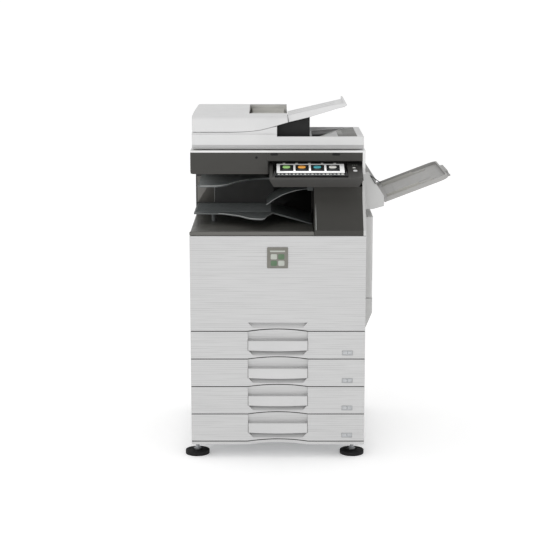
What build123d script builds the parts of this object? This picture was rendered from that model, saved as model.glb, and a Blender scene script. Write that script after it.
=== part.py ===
"""A floor-standing A3 photocopier with four paper trays, as an assembly of separate pieces.

Every size is in millimetres. The row frame has +X to the machine's right as seen from the
front, +Y to the back and +Z up, with its origin on the floor at the centre of the four
levelling pads. The pieces are drawn in cabinet terms: x from the cabinet's centre plane,
d behind the cabinet's front face, and z above the floor.
"""
from build123d import *
import math
import os

# ---- the cabinet's driving sizes -------------------------------------------------------
CABINET_W = 590.0            # width of the front panels
CABINET_D = 650.0            # front face to rear cover
HALF_W = CABINET_W / 2
PAD_X = (-HALF_W + 17.0, HALF_W - 39.0)      # levelling pads, from the centre plane
PAD_D = (60.0, CABINET_D - 60.0)             # levelling pads, behind the front face
PAD_R = 41.5
PAD_H = 12.0
BOLT_R = 6.0
NUT_ACROSS_CORNERS = 26.0
NUT_H = 8.0
BUMPER_X = (PAD_X[0] + 57.0, PAD_X[0] + 93.0, PAD_X[1] - 94.0, PAD_X[1] - 59.0)
BUMPER_R = 7.0
BUMPER_H = 7.0
BASE_Z = 48.0                # underside of the base plate
SHEET = 3.0                  # frame sheet metal
BASE_T = 6.0
COVER_T = 3.5                # moulded outer covers
FRAME_X = HALF_W - 5.0       # outer face of the side frame plates
INNER_X = FRAME_X - SHEET
FRAME_D = (36.0, CABINET_D - 10.0)
PANEL_GAP = 3.0              # gap between neighbouring front panels

# ---- front panels ----------------------------------------------------------------------
TRAY_COUNT = 4
TRAY_PITCH = 96.5
LOWEST_TRAY_Z = 61.5
TRAY_FACE_H = TRAY_PITCH - PANEL_GAP
FACE_T = 22.0                # depth of a tray's moulded face
FACE_WALL = 4.0
ARC_HALF = 103.0             # half length of the arched middle of each panel joint
ARC_RISE = 8.0
ARC_STEP = 4.5               # height of the arch behind its face, clear of the turning cover
GRIP_HALF = 102.0            # half length of a tray's handle bar
GRIP_TOP = 32.0              # handle bar, below the panel's top edge
GRIP_LOW = 65.0
GRIP_DEPTH = 15.0
SCOOP_TOP = TRAY_FACE_H - GRIP_LOW   # finger scoop under a handle, above the panel's lower edge
SCOOP_LOW = 11.0            # above the arch of the panel's lower edge
SCOOP_RISE = 5.0             # upright part of its back wall
SCOOP_HALF = 100.0
SCOOP_FOOT_HALF = 84.0
SCOOP_DEPTH = 16.0
COVER_LOW = LOWEST_TRAY_Z + TRAY_COUNT * TRAY_PITCH
DECK_Z = 772.5               # top of the cabinet, where the output bay starts
COVER_HIGH = DECK_Z - 1.0
COVER_DEPTH = 24.0

# ---- paper trays -----------------------------------------------------------------------
RUNNER_W = 25.0              # room for the runners on each side of a pan
PAN_HALF = INNER_X - RUNNER_W
PAN_BACK = CABINET_D - 90.0
PAN_WALL = 2.5
PAN_LOW = 6.0                # pan, above the lower edge of its face
PAN_HIGH = 74.0
RAIL_LOW = 30.0              # runner rail on each side of the pan
RAIL_HIGH = 42.0
RAIL_OUT = 6.0
RUN_GAP = 0.3                # clearance where one piece slides or rests on another
LIFT_T = 2.0
LIFT_HALF = PAN_HALF - 22.0

# ---- front cover hinge -----------------------------------------------------------------
HINGE_D = 8.0
HINGE_Z = COVER_LOW + 15.0   # high enough for the open cover to clear the top tray's arch
HINGE_R = 3.0
HINGE_EYE_R = 3.7            # round end of each bracket, inside the cover's front wall
PIN_GAP = 0.05               # radial running clearance of every hinge pin and shaft
HINGE_X = HALF_W - 38.0

# ---- output bay ------------------------------------------------------------------------
FLOOR_Z = 779.0
LIP_Z = 787.0
BAY_BACK = CABINET_D - 211.0
COLUMN_X = -HALF_W + 68.0
COLUMN_STEP = 2.0
PILLAR_LEFT = HALF_W - 173.0
PILLAR_RIGHT = HALF_W - 9.4
PILLAR_T = 4.0
SCANNER_Z = 967.0            # underside of the scanner
PILLAR_OUTLINE = [(0, DECK_Z), (0, 790), (87, 885), (95, 925)]
PANEL_WELL_Z = 925.0         # pillar top in front of the operation panel's well
WELL_D = 150.0

# ---- scanner ---------------------------------------------------------------------------
SCANNER_D = 103.0
FASCIA_T = 5.0
RIM_Z = 1040.0
GLASS_Z = 1046.6
SCANNER_BACK = CABINET_D - 8.0
GLASS_X = (-HALF_W + 70.0, HALF_W - 80.0)
GLASS_D = (180.0, CABINET_D - 160.0)
GLASS_LEDGE = 7.0
GLASS_T = 3.6
WELL_X = HALF_W - 328.0      # left side of the operation panel's well
WELL_Z = 1012.0
LINING = 3.0
ROD_R = 5.0
ROD_D = (GLASS_D[0] - 8.0, GLASS_D[1] + 26.0)
ROD_Z = 1022.0

# ---- operation panel -------------------------------------------------------------------
PANEL_X = (WELL_X + 5.4, PILLAR_RIGHT - 2.6)
PANEL_FRONT = (-8.0, 968.0)  # near top edge (d, z)
PANEL_REAR = (143.0, 1004.0)
PANEL_AXIS = (135.0, 992.0)
PANEL_PIN_R = 3.0
SCREEN_X = (PANEL_X[0] + 17.6, PANEL_X[1] - 49.0)
SCREEN_S = (3.0, 147.0)      # along the panel's slope from its near edge
SCREEN_T = 2.0
KEY_X = PANEL_X[1] - 24.0
KEY_S = 66.0
KEY_R = 7.0
KEY_TRAVEL = 1.5

# ---- document feeder -------------------------------------------------------------------
ADF_HALF = HALF_W - 5.5
ADF_Z = 1050.0
ADF_TOP = 1100.5
ADF_D = (100.0, CABINET_D - 5.0)
ADF_AXIS = (CABINET_D + 4.0, 1050.0)
ADF_KNUCKLE_X = HALF_W - 110.0
LUG_FOOT_Z = 1018.0          # lowest point of the feeder's hinge lugs
PATH_BACK = CABINET_D - 206.0  # back of the raised part that the paper goes through
REAR_DECK_Z = 1070.0         # low deck behind it, over the hinges
FEEDER_D = (105.0, PATH_BACK - 8.0)
FEEDER_R = 8.5
FEEDER_AXIS = (-ADF_HALF + FEEDER_R + 0.5, 1117.0)
EXIT_X = -3.0
BASIN_RIM = 1093.0
INLET_X = -98.0
INLET_D = (171.0, FEEDER_D[1] - 25.0)
INLET_Z = 1147.0
FEEDER_PIN_R = 3.0
FEEDER_LUG_D = ((FEEDER_D[0] + 7.0, FEEDER_D[0] + 13.0), (FEEDER_D[1] - 13.0, FEEDER_D[1] - 7.0))

# ---- right side ------------------------------------------------------------------------
DOOR_X = (HALF_W + 0.5, HALF_W + 31.5)
DOOR_D = (150.0, CABINET_D - 30.0)
DOOR_Z = (530.0, 812.0)
LOW_DOOR_Z = (426.0, 528.0)
DOOR_LUGS = (560.0, 770.0)
LOW_DOOR_LUGS = (445.0, 500.0)
DOOR_WALL = 3.0
DOOR_PIN_R = 2.5
DOOR_R = 6.0
BYPASS_D = (150.0, CABINET_D - 60.0)
BYPASS_CHEEK = 8.0
BYPASS_AXIS = (HALF_W + 57.0, 866.0)
BYPASS_TILT = 21.0
BYPASS_LENGTH = 246.0

CABINET_X = -sum(PAD_X) / 2
FRONT_Y = -sum(PAD_D) / 2


# ---- drawing helpers -------------------------------------------------------------------
def front_plane(d):
    """Seen from the front: draws in (x, z) at depth d, and extrudes towards the front."""
    return Plane((CABINET_X, FRONT_Y + d, 0), x_dir=(1, 0, 0), z_dir=(0, -1, 0))


def side_plane(x):
    """Seen from the right: draws in (d, z) at width x, and extrudes to the right."""
    return Plane((CABINET_X + x, FRONT_Y, 0), x_dir=(0, 1, 0), z_dir=(1, 0, 0))


def level_plane(z):
    """Seen from above: draws in (x, d) at height z, and extrudes upwards."""
    return Plane((CABINET_X, FRONT_Y, z), x_dir=(1, 0, 0), z_dir=(0, 0, 1))


def slab(x, d, z, mode=Mode.ADD):
    """A block between three (low, high) ranges."""
    with Locations((CABINET_X + sum(x) / 2, FRONT_Y + sum(d) / 2, sum(z) / 2)):
        Box(x[1] - x[0], d[1] - d[0], z[1] - z[0], mode=mode)


def prism(plane, outline, amount, mode=Mode.ADD):
    """A closed outline drawn on a plane and extruded along the plane's normal."""
    with BuildSketch(plane) as profile:
        with BuildLine():
            Polyline(*outline, close=True)
        make_face()
    extrude(profile.sketch, amount=amount, mode=mode)


def rod(plane, centre, radius, amount, mode=Mode.ADD):
    """A round bar, or with Mode.SUBTRACT a round hole, along a plane's normal."""
    with BuildSketch(plane) as profile:
        with Locations(centre):
            Circle(radius)
    extrude(profile.sketch, amount=amount, mode=mode)


def save(name, builder):
    """Label a finished piece and write it under its node's name."""
    builder.part.label = name
    export_step(builder.part, f"parts/{name}.step")


def face_outline(plane, z_low, z_high, amount, low_arc=True, high_arc=True):
    """A front panel whose lower and upper edges arch upwards in the middle."""
    with BuildSketch(plane) as profile:
        with BuildLine():
            Polyline((-ARC_HALF, z_low), (-HALF_W, z_low), (-HALF_W, z_high), (-ARC_HALF, z_high))
            if high_arc:
                ThreePointArc((-ARC_HALF, z_high), (0, z_high + ARC_RISE), (ARC_HALF, z_high))
            else:
                Line((-ARC_HALF, z_high), (ARC_HALF, z_high))
            Polyline((ARC_HALF, z_high), (HALF_W, z_high), (HALF_W, z_low), (ARC_HALF, z_low))
            if low_arc:
                ThreePointArc((ARC_HALF, z_low), (0, z_low + ARC_RISE), (-ARC_HALF, z_low))
            else:
                Line((ARC_HALF, z_low), (-ARC_HALF, z_low))
        make_face()
    extrude(profile.sketch, amount=amount)


def finger_scoop(z_low, depth):
    """The sloping hollow, narrower at its foot, that leaves room for fingers above a joint."""
    foot = z_low + SCOOP_LOW
    top = z_low + SCOOP_TOP
    over = 4.0
    spread = over * (SCOOP_HALF - SCOOP_FOOT_HALF) / (top - foot)
    with BuildSketch(side_plane(-SCOOP_HALF - over)) as profile:
        with BuildLine():
            Polyline((0, foot), (-1, foot), (-1, top), (depth, top), (depth, top - SCOOP_RISE),
                     close=True)
        make_face()
    with BuildSketch(front_plane(depth + 1)) as front:
        with BuildLine():
            Polyline((-SCOOP_HALF - spread, top + over), (-SCOOP_FOOT_HALF + spread, foot - over),
                     (SCOOP_FOOT_HALF - spread, foot - over), (SCOOP_HALF + spread, top + over),
                     close=True)
        make_face()
    slope = extrude(profile.sketch, amount=2 * (SCOOP_HALF + over), mode=Mode.PRIVATE)
    span = extrude(front.sketch, amount=depth + 3, mode=Mode.PRIVATE)
    add(slope & span, mode=Mode.SUBTRACT)


def tray_low(number):
    """Lower edge of a tray's face; tray 1 is the uppermost."""
    return LOWEST_TRAY_Z + (TRAY_COUNT - number) * TRAY_PITCH


os.makedirs("parts", exist_ok=True)

# ======================= feet and base ==================================================
PAD_PLACES = [(x, d) for x in PAD_X for d in PAD_D]

with BuildPart() as rubber_feet:
    for place in PAD_PLACES:
        rod(level_plane(0), place, PAD_R, PAD_H)
    for bumper_x in BUMPER_X:
        for bumper_d in PAD_D:
            rod(level_plane(BASE_Z - BUMPER_H), (bumper_x, bumper_d), BUMPER_R, BUMPER_H)
save("rubber_feet", rubber_feet)

with BuildPart() as levelling_bolts:
    for place in PAD_PLACES:
        rod(level_plane(PAD_H), place, BOLT_R, BASE_Z - PAD_H)
        for nut_z in (PAD_H, BASE_Z - NUT_H):
            with BuildSketch(level_plane(nut_z)) as nut:
                with Locations(place):
                    RegularPolygon(NUT_ACROSS_CORNERS / 2, 6)
            extrude(nut.sketch, amount=NUT_H)
save("levelling_bolts", levelling_bolts)

SKIRT_TOP = LOWEST_TRAY_Z - PANEL_GAP
with BuildPart() as base_plate:
    slab((-FRAME_X, FRAME_X), (FACE_T + 2, CABINET_D - COVER_T), (BASE_Z, BASE_Z + BASE_T))
save("base_plate", base_plate)

with BuildPart() as base_skirt:
    face_outline(front_plane(FACE_T), BASE_Z, SKIRT_TOP, FACE_T)
    for side in (-1, 1):
        edges = sorted((side * (ARC_HALF + 12), side * (HALF_W - FACE_WALL)))
        slab(edges, (FACE_WALL, FACE_T), (BASE_Z - 1, SKIRT_TOP - FACE_WALL), Mode.SUBTRACT)
        edges = sorted((side * (ARC_HALF + 11), side * (FRAME_X - 20)))
        slab(edges, (FACE_WALL - 1, FACE_T + 2), (BASE_Z, BASE_Z + SHEET))
save("base_skirt", base_skirt)

# ======================= steel frame ====================================================
FRAME_LOW = BASE_Z + BASE_T
FRAME_HIGH = DECK_Z - 2.5

ACCESS_D = (170.0, CABINET_D - 50.0)
with BuildPart() as side_frame_plates:
    for side in (-1, 1):
        edges = sorted((side * INNER_X, side * FRAME_X))
        slab(edges, FRAME_D, (FRAME_LOW, FRAME_HIGH))
    slab((INNER_X - 1, FRAME_X + 1), ACCESS_D, (DOOR_Z[0] + 20, FRAME_HIGH + 1),
         Mode.SUBTRACT)
save("side_frame_plates", side_frame_plates)

with BuildPart() as rear_frame_plate:
    slab((-INNER_X, INNER_X), (FRAME_D[1] - SHEET, FRAME_D[1]), (FRAME_LOW, FRAME_HIGH))
save("rear_frame_plate", rear_frame_plate)

SHELF_Z = COVER_LOW + 4.0
DECK_SHELF_Z = 560.0
with BuildPart() as engine_shelf:
    slab((-INNER_X, INNER_X), (FRAME_D[0], FRAME_D[1] - SHEET), (SHELF_Z, SHELF_Z + SHEET))
    slab((-INNER_X, INNER_X), (60, FRAME_D[1] - SHEET), (DECK_SHELF_Z, DECK_SHELF_Z + SHEET))
    for post_x in (-INNER_X + 20, INNER_X - 20):
        slab((post_x - 10, post_x + 10), (60, 80), (SHELF_Z, DECK_SHELF_Z))
save("engine_shelf", engine_shelf)

with BuildPart() as tray_runners:
    for number in range(1, TRAY_COUNT + 1):
        for side in (-1, 1):
            edges = sorted((side * (PAN_HALF + 0.5), side * INNER_X))
            top = tray_low(number) + RAIL_LOW - RUN_GAP
            slab(edges, (40, PAN_BACK + 40), (top - 7, top))
            edges = sorted((side * (PAN_HALF + RAIL_OUT + 1), side * INNER_X))
            slab(edges, (40, PAN_BACK + 40), (top, top + RAIL_HIGH - RAIL_LOW + 3))
save("tray_runners", tray_runners)

# ======================= outer covers ===================================================
SIDE_COVER_D = (FACE_T + 5.0, CABINET_D - COVER_T)

with BuildPart() as left_cover:
    slab((-HALF_W, -HALF_W + COVER_T), SIDE_COVER_D, (BASE_Z + 12, DECK_Z - 1))
    for clip_z in (150, 420, 700):
        slab((-HALF_W + COVER_T, -FRAME_X), (300, 340), (clip_z, clip_z + 20))
save("left_cover", left_cover)

STRIP_X = PILLAR_RIGHT
SLOT_D = (BYPASS_D[0] + 50.0, BYPASS_D[1] - 30.0)   # paper slot behind the bypass tray
with BuildPart() as right_cover:
    side_outline = [(SIDE_COVER_D[0], BASE_Z + 12), (SIDE_COVER_D[0], DECK_Z), *PILLAR_OUTLINE,
                    (98, SCANNER_Z - 0.5), (SIDE_COVER_D[1], SCANNER_Z - 0.5),
                    (SIDE_COVER_D[1], BASE_Z + 12)]
    prism(side_plane(STRIP_X), side_outline, HALF_W - STRIP_X)
    slab((STRIP_X - 1, HALF_W - COVER_T), (-1, CABINET_D), (BASE_Z, DECK_Z), Mode.SUBTRACT)
    hollow = [(12, DECK_Z), (12, 787), (99, 882), (110, 925), (110, SCANNER_Z),
              (CABINET_D, SCANNER_Z), (CABINET_D, DECK_Z)]
    prism(side_plane(STRIP_X - 1), hollow, HALF_W - COVER_T - STRIP_X + 1, Mode.SUBTRACT)
    slab((STRIP_X - 1, HALF_W + 1), (ACCESS_D[0] + 5, ACCESS_D[1] - 5),
         (DOOR_Z[0] + 25, DOOR_Z[1] - 20), Mode.SUBTRACT)
    slab((STRIP_X - 1, HALF_W + 1), SLOT_D, (866, 892), Mode.SUBTRACT)
    for clip_z in (150, 420):
        slab((FRAME_X, HALF_W - COVER_T), (300, 340), (clip_z, clip_z + 20))
    door_axis = (DOOR_X[0] + DOOR_R, DOOR_D[1] - DOOR_R)
    for lug_z in LOW_DOOR_LUGS + DOOR_LUGS:
        slab((HALF_W - COVER_T, door_axis[0] + 4.5), (door_axis[1] - 4.5, door_axis[1] + 4.5),
             (lug_z, lug_z + 12))
        rod(level_plane(lug_z - 8), door_axis, DOOR_PIN_R, 28)
save("right_cover", right_cover)

SOCKET_X = (HALF_W - 125.0, HALF_W - 69.0)
SOCKET_Z = (120.0, 160.0)
with BuildPart() as rear_cover:
    slab((-HALF_W, HALF_W), (CABINET_D - COVER_T, CABINET_D), (BASE_Z + 12, LUG_FOOT_Z - 2))
    slab((-HALF_W + 20, HALF_W - 20), (FRAME_D[1], CABINET_D - COVER_T), (400, 420))
    with BuildSketch(front_plane(CABINET_D + 1)) as vents:
        with Locations((-HALF_W + 155, 620)):
            with GridLocations(0, 12, 1, 12):
                SlotOverall(150, 5)
    extrude(vents.sketch, amount=COVER_T + 2, mode=Mode.SUBTRACT)
    slab(SOCKET_X, (CABINET_D - COVER_T - 1, CABINET_D + 1), SOCKET_Z, Mode.SUBTRACT)
save("rear_cover", rear_cover)

with BuildPart() as power_inlet:
    slab((SOCKET_X[0] + RUN_GAP, SOCKET_X[1] - RUN_GAP), (FRAME_D[1], CABINET_D),
         (SOCKET_Z[0] + RUN_GAP, SOCKET_Z[1] - RUN_GAP))
    slab((SOCKET_X[0] + 6, SOCKET_X[1] - 6), (FRAME_D[1] + 2, CABINET_D + 1),
         (SOCKET_Z[0] + 8, SOCKET_Z[1] - 8), Mode.SUBTRACT)
    for pin_x in (SOCKET_X[0] + 16, SOCKET_X[0] + 28, SOCKET_X[0] + 40):
        slab((pin_x - 3, pin_x + 3), (FRAME_D[1] + 1, CABINET_D - 2),
             (SOCKET_Z[0] + 18, SOCKET_Z[0] + 22))
save("power_inlet", power_inlet)

# ======================= front cover ====================================================
with BuildPart() as front_cover:
    face_outline(front_plane(COVER_DEPTH), COVER_LOW, COVER_HIGH, COVER_DEPTH, high_arc=False)
    slab((-HALF_W + FACE_WALL, HALF_W - FACE_WALL), (FACE_WALL, COVER_DEPTH + 1),
         (COVER_LOW + SCOOP_TOP + 8, COVER_HIGH - FACE_WALL), Mode.SUBTRACT)
    for side in (-1, 1):
        edges = sorted((side * (ARC_HALF + 8), side * (HALF_W - FACE_WALL)))
        slab(edges, (FACE_WALL, COVER_DEPTH + 1), (COVER_LOW + FACE_WALL, COVER_LOW + 40),
             Mode.SUBTRACT)
        edges = sorted((side * HINGE_X, side * (HINGE_X + 8)))
        slab(edges, (FACE_WALL, 20), (COVER_LOW + FACE_WALL, HINGE_Z + 12))
        rod(side_plane(edges[0] - 1), (HINGE_D, HINGE_Z), HINGE_R + PIN_GAP, 10, Mode.SUBTRACT)
    heel = [(17.5, COVER_LOW - 1), (COVER_DEPTH + 1, COVER_LOW - 1), (COVER_DEPTH + 1, HINGE_Z - 7)]
    prism(side_plane(-HALF_W - 1), heel, CABINET_W + 2, Mode.SUBTRACT)
    finger_scoop(COVER_LOW, 12)
save("front_cover", front_cover)

with BuildPart() as hinge_brackets:
    for side in (-1, 1):
        edges = sorted((side * (HINGE_X - 6.5), side * (HINGE_X - 0.5)))
        arm = [(HINGE_D - 3, HINGE_Z), (HINGE_D + 3, HINGE_Z), (HINGE_D + 3, HINGE_Z + 30),
               (FRAME_D[0], HINGE_Z + 45), (FRAME_D[0] + 8, HINGE_Z + 45),
               (FRAME_D[0] + 8, HINGE_Z + 70), (FRAME_D[0], HINGE_Z + 70),
               (HINGE_D - 3, HINGE_Z + 48)]
        prism(side_plane(edges[0]), arm, 6)
        rod(side_plane(edges[0]), (HINGE_D, HINGE_Z), HINGE_EYE_R, 6)
        pin_from = edges[0] if side > 0 else edges[0] - 8
        rod(side_plane(pin_from), (HINGE_D, HINGE_Z), HINGE_R, 14)
        web = sorted((side * (HINGE_X - 6.5), side * INNER_X))
        slab(web, (FRAME_D[0] + 2, FRAME_D[0] + 8), (HINGE_Z + 45, HINGE_Z + 70))
save("hinge_brackets", hinge_brackets)

BADGE_T = 1.5
with BuildPart() as front_badge:
    slab((-36, 34), (-BADGE_T, 0), (663, 734))
    fillet(front_badge.edges().filter_by(Axis.Y), radius=3)
save("front_badge", front_badge)

# ======================= paper trays ====================================================
LIFT_LUG_D = (90.0, PAN_BACK - 60.0)
for number in range(1, TRAY_COUNT + 1):
    low = tray_low(number)
    high = low + TRAY_FACE_H
    with BuildPart() as tray_front:
        face_outline(front_plane(FACE_T), low, high, FACE_T)
        for side in (-1, 1):
            edges = sorted((side * (ARC_HALF + 8), side * (HALF_W - FACE_WALL)))
            slab(edges, (FACE_WALL, FACE_T + 1), (low + FACE_WALL, high - FACE_WALL),
                 Mode.SUBTRACT)
        upper = [(-1, high + ARC_RISE + 1), (0, high + ARC_RISE), (GRIP_DEPTH, high - GRIP_TOP),
                 (-1, high - GRIP_TOP)]
        prism(side_plane(-GRIP_HALF), upper, 2 * GRIP_HALF, Mode.SUBTRACT)
        slab((-ARC_HALF, ARC_HALF), (3, FACE_T + 1), (high + ARC_STEP, high + ARC_RISE + 1),
             Mode.SUBTRACT)
        finger_scoop(low, SCOOP_DEPTH)
        edges = (-SCOOP_HALF + 8, SCOOP_HALF - 8)
        slab(edges, (5, SCOOP_DEPTH), (high - GRIP_LOW - 1, high - GRIP_TOP - 8), Mode.SUBTRACT)
    save(f"tray_front_{number}", tray_front)

    with BuildPart() as tray_pan:
        slab((-PAN_HALF, PAN_HALF), (FACE_T, PAN_BACK), (low + PAN_LOW, low + PAN_HIGH))
        slab((-PAN_HALF + PAN_WALL, PAN_HALF - PAN_WALL), (FACE_T + PAN_WALL, PAN_BACK - PAN_WALL),
             (low + PAN_LOW + PAN_WALL, low + PAN_HIGH + 1), Mode.SUBTRACT)
        for side in (-1, 1):
            edges = sorted((side * PAN_HALF, side * (PAN_HALF + RAIL_OUT)))
            slab(edges, (40, PAN_BACK), (low + RAIL_LOW, low + RAIL_HIGH))
        pivot = (-LIFT_HALF - 8, low + 16)
        for lug_d in LIFT_LUG_D:
            slab((pivot[0] - 5, pivot[0] + 5), (lug_d, lug_d + 8), (low + PAN_LOW, low + 22))
            rod(front_plane(lug_d + 18), pivot, 2.5, 12)
    save(f"tray_pan_{number}", tray_pan)

    with BuildPart() as lift_plate:
        slab((-LIFT_HALF, LIFT_HALF), (50, PAN_BACK - 20), (low + 15, low + 15 + LIFT_T))
        for lug_d in LIFT_LUG_D:
            slab((pivot[0] - 5, -LIFT_HALF + 10), (lug_d + 9, lug_d + 17), (low + 11, low + 21))
            rod(front_plane(lug_d + 20), pivot, 2.5 + PIN_GAP, 12, Mode.SUBTRACT)
    save(f"lift_plate_{number}", lift_plate)

# ======================= output bay =====================================================
with BuildPart() as output_floor:
    slab((-HALF_W, PILLAR_LEFT - 0.2), (8, BAY_BACK), (DECK_Z, FLOOR_Z))
    slab((-HALF_W, PILLAR_LEFT - 0.2), (0, 8), (DECK_Z, LIP_Z))
save("output_floor", output_floor)

with BuildPart() as bay_rear_wall:
    slab((COLUMN_X, PILLAR_RIGHT - 0.2), (BAY_BACK, BAY_BACK + 4), (DECK_Z, SCANNER_Z))
    slab((-HALF_W, COLUMN_X), (BAY_BACK, BAY_BACK + 4), (DECK_Z, SCANNER_Z))
    slab((-HALF_W, COLUMN_X), (BAY_BACK - COLUMN_STEP, BAY_BACK), (FLOOR_Z, SCANNER_Z))
    slab((-HALF_W, -HALF_W + 4), (BAY_BACK, SIDE_COVER_D[1]), (DECK_Z, SCANNER_Z))
save("bay_rear_wall", bay_rear_wall)

EXIT_ROLLER = (PILLAR_LEFT + 14.0, 905.0)
ROLLER_SHAFT_R = 4.0
with BuildPart() as right_pillar:
    outer = [*PILLAR_OUTLINE, (WELL_D, PANEL_WELL_Z), (WELL_D, SCANNER_Z - 0.2),
             (BAY_BACK, SCANNER_Z - 0.2), (BAY_BACK, DECK_Z)]
    prism(side_plane(PILLAR_LEFT), outer, PILLAR_RIGHT - 0.2 - PILLAR_LEFT)
    inner = [(4, DECK_Z + 4), (4, 788.5), (91, 883), (98.5, 921), (WELL_D + 4, 921),
             (WELL_D + 4, SCANNER_Z - 4), (BAY_BACK + 1, SCANNER_Z - 4), (BAY_BACK + 1, DECK_Z + 4)]
    prism(side_plane(PILLAR_LEFT + PILLAR_T), inner,
          PILLAR_RIGHT - 0.2 - PILLAR_LEFT - 2 * PILLAR_T, Mode.SUBTRACT)
    slab((PILLAR_LEFT - 1, PILLAR_LEFT + PILLAR_T + 1), (122, BAY_BACK - 12), (793, 912),
         Mode.SUBTRACT)
    for bearing_d in (113, BAY_BACK - 8):
        slab((PILLAR_LEFT + 1, EXIT_ROLLER[0] + 12), (bearing_d, bearing_d + 5), (890, 920))
        rod(front_plane(bearing_d + 6), EXIT_ROLLER, ROLLER_SHAFT_R + PIN_GAP, 7, Mode.SUBTRACT)
save("right_pillar", right_pillar)

with BuildPart() as exit_roller:
    rod(front_plane(BAY_BACK - 2), EXIT_ROLLER, ROLLER_SHAFT_R, BAY_BACK - 2 - 111)
    for tyre in range(4):
        tyre_d = 165 + tyre * (BAY_BACK - 229) / 3
        rod(front_plane(tyre_d + 22), EXIT_ROLLER, 10, 22)
save("exit_roller", exit_roller)

TRAY_TOP_Z = 820.0
UPPER_TRAY_Z = (919.0, 925.0)
BACK_EDGE = BAY_BACK - COLUMN_STEP
TRAY_LEFT = -HALF_W + 5.0
TRAY_RIGHT = PILLAR_LEFT - 139.0
UPPER_LEFT = -HALF_W + 23.0
RIB_PITCH = (BACK_EDGE - 233.0) / 12
with BuildPart() as output_tray:
    with BuildSketch(level_plane(TRAY_TOP_Z - 5)) as sheet:
        with BuildLine():
            Line((TRAY_LEFT, BACK_EDGE), (TRAY_LEFT, 196))
            Line((TRAY_LEFT, 196), (-205, 189))
            Spline((-205, 189), (-170, 170), (-127, 131), (-60, 65),
                   tangents=[(1, -0.07), (1, -0.1)])
            Spline((-60, 65), (-40, 115), (TRAY_RIGHT, 204), tangents=[(1, 0.2), (0.2, 1)])
            Line((TRAY_RIGHT, 204), (TRAY_RIGHT, BACK_EDGE))
            Line((TRAY_RIGHT, BACK_EDGE), (TRAY_LEFT, BACK_EDGE))
        make_face()
    extrude(sheet.sketch, amount=5)
    for rib in range(12):
        rib_d = 222 + rib * RIB_PITCH
        slab((TRAY_LEFT + 6, TRAY_RIGHT - 7), (rib_d, rib_d + 2.5), (TRAY_TOP_Z, TRAY_TOP_Z + 1.5))
    ramp = [(TRAY_RIGHT, TRAY_TOP_Z), (TRAY_RIGHT, TRAY_TOP_Z - 5), (PILLAR_LEFT - 10, FLOOR_Z),
            (PILLAR_LEFT - 4, FLOOR_Z), (PILLAR_LEFT - 4, FLOOR_Z + 4)]
    prism(front_plane(BACK_EDGE), ramp, BACK_EDGE - 206)
    rod(level_plane(FLOOR_Z), (TRAY_LEFT + 65, 275), 7, TRAY_TOP_Z - 5 - FLOOR_Z)
save("output_tray", output_tray)

with BuildPart() as separator_tray:
    with BuildSketch(level_plane(UPPER_TRAY_Z[0])) as sheet:
        with BuildLine():
            Line((UPPER_LEFT, BACK_EDGE), (UPPER_LEFT, 128))
            Line((UPPER_LEFT, 128), (UPPER_LEFT + 8, 120))
            Line((UPPER_LEFT + 8, 120), (-212, 120))
            Spline((-212, 120), (-166, 177), (-121, 268), (-38, 326), tangents=[(1, 0.4), (1, 0.2)])
            Line((-38, 326), (20, 326))
            Line((20, 326), (PILLAR_LEFT - 60, 172))
            Line((PILLAR_LEFT - 60, 172), (PILLAR_LEFT - 0.3, 172))
            Line((PILLAR_LEFT - 0.3, 172), (PILLAR_LEFT - 0.3, BACK_EDGE))
            Line((PILLAR_LEFT - 0.3, BACK_EDGE), (UPPER_LEFT, BACK_EDGE))
        make_face()
    extrude(sheet.sketch, amount=UPPER_TRAY_Z[1] - UPPER_TRAY_Z[0])
    rod(level_plane(UPPER_TRAY_Z[0] - 8), (UPPER_LEFT + 22, BACK_EDGE - 17), 9, 8)
save("separator_tray", separator_tray)

FLAP_AXIS = (PILLAR_LEFT - 14.0, 903.0)
FLAP_D = (208.0, BAY_BACK - 39.0)
FLAP_PIN_R = 3.0
with BuildPart() as exit_flap:
    tip = FLAP_AXIS[0] - 146
    with BuildSketch(front_plane(FLAP_D[1])) as sheet:
        with BuildLine():
            ThreePointArc((tip, 845), (tip + 58, 880.5), (tip + 122, 898))
            Polyline((tip + 122, 898), (FLAP_AXIS[0], 901), (FLAP_AXIS[0], 904), (tip + 122, 901))
            ThreePointArc((tip + 122, 901), (tip + 56.8, 883.3), (tip - 2, 847.4))
            Line((tip - 2, 847.4), (tip, 845))
        make_face()
    extrude(sheet.sketch, amount=FLAP_D[1] - FLAP_D[0])
    rod(front_plane(FLAP_D[1]), FLAP_AXIS, 5, FLAP_D[1] - FLAP_D[0])
    rod(front_plane(FLAP_D[1] + 11), FLAP_AXIS, FLAP_PIN_R, FLAP_D[1] - FLAP_D[0] + 22)
save("exit_flap", exit_flap)

with BuildPart() as flap_lugs:
    for lug_d in (FLAP_D[0] - 9.5, FLAP_D[1] + 4.5):
        slab((FLAP_AXIS[0] - 6, PILLAR_LEFT - 0.3), (lug_d, lug_d + 5), (897, UPPER_TRAY_Z[0]))
        rod(front_plane(lug_d + 6), FLAP_AXIS, FLAP_PIN_R + PIN_GAP, 7, Mode.SUBTRACT)
save("flap_lugs", flap_lugs)

# ======================= engine behind the front cover ==================================
BELT_TOP = DECK_SHELF_Z + SHEET + 44.0
ENGINE_BACK = CABINET_D - 90.0
with BuildPart() as transfer_belt:
    with BuildSketch(front_plane(ENGINE_BACK)) as loop:
        with Locations((-30, BELT_TOP - 22)):
            SlotOverall(380, 44)
            SlotOverall(374, 38, mode=Mode.SUBTRACT)
    extrude(loop.sketch, amount=ENGINE_BACK - 100)
    for roller_x in (-198, 138):
        rod(front_plane(ENGINE_BACK + 10), (roller_x, BELT_TOP - 22), 18.9, ENGINE_BACK - 80)
save("transfer_belt", transfer_belt)

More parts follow.
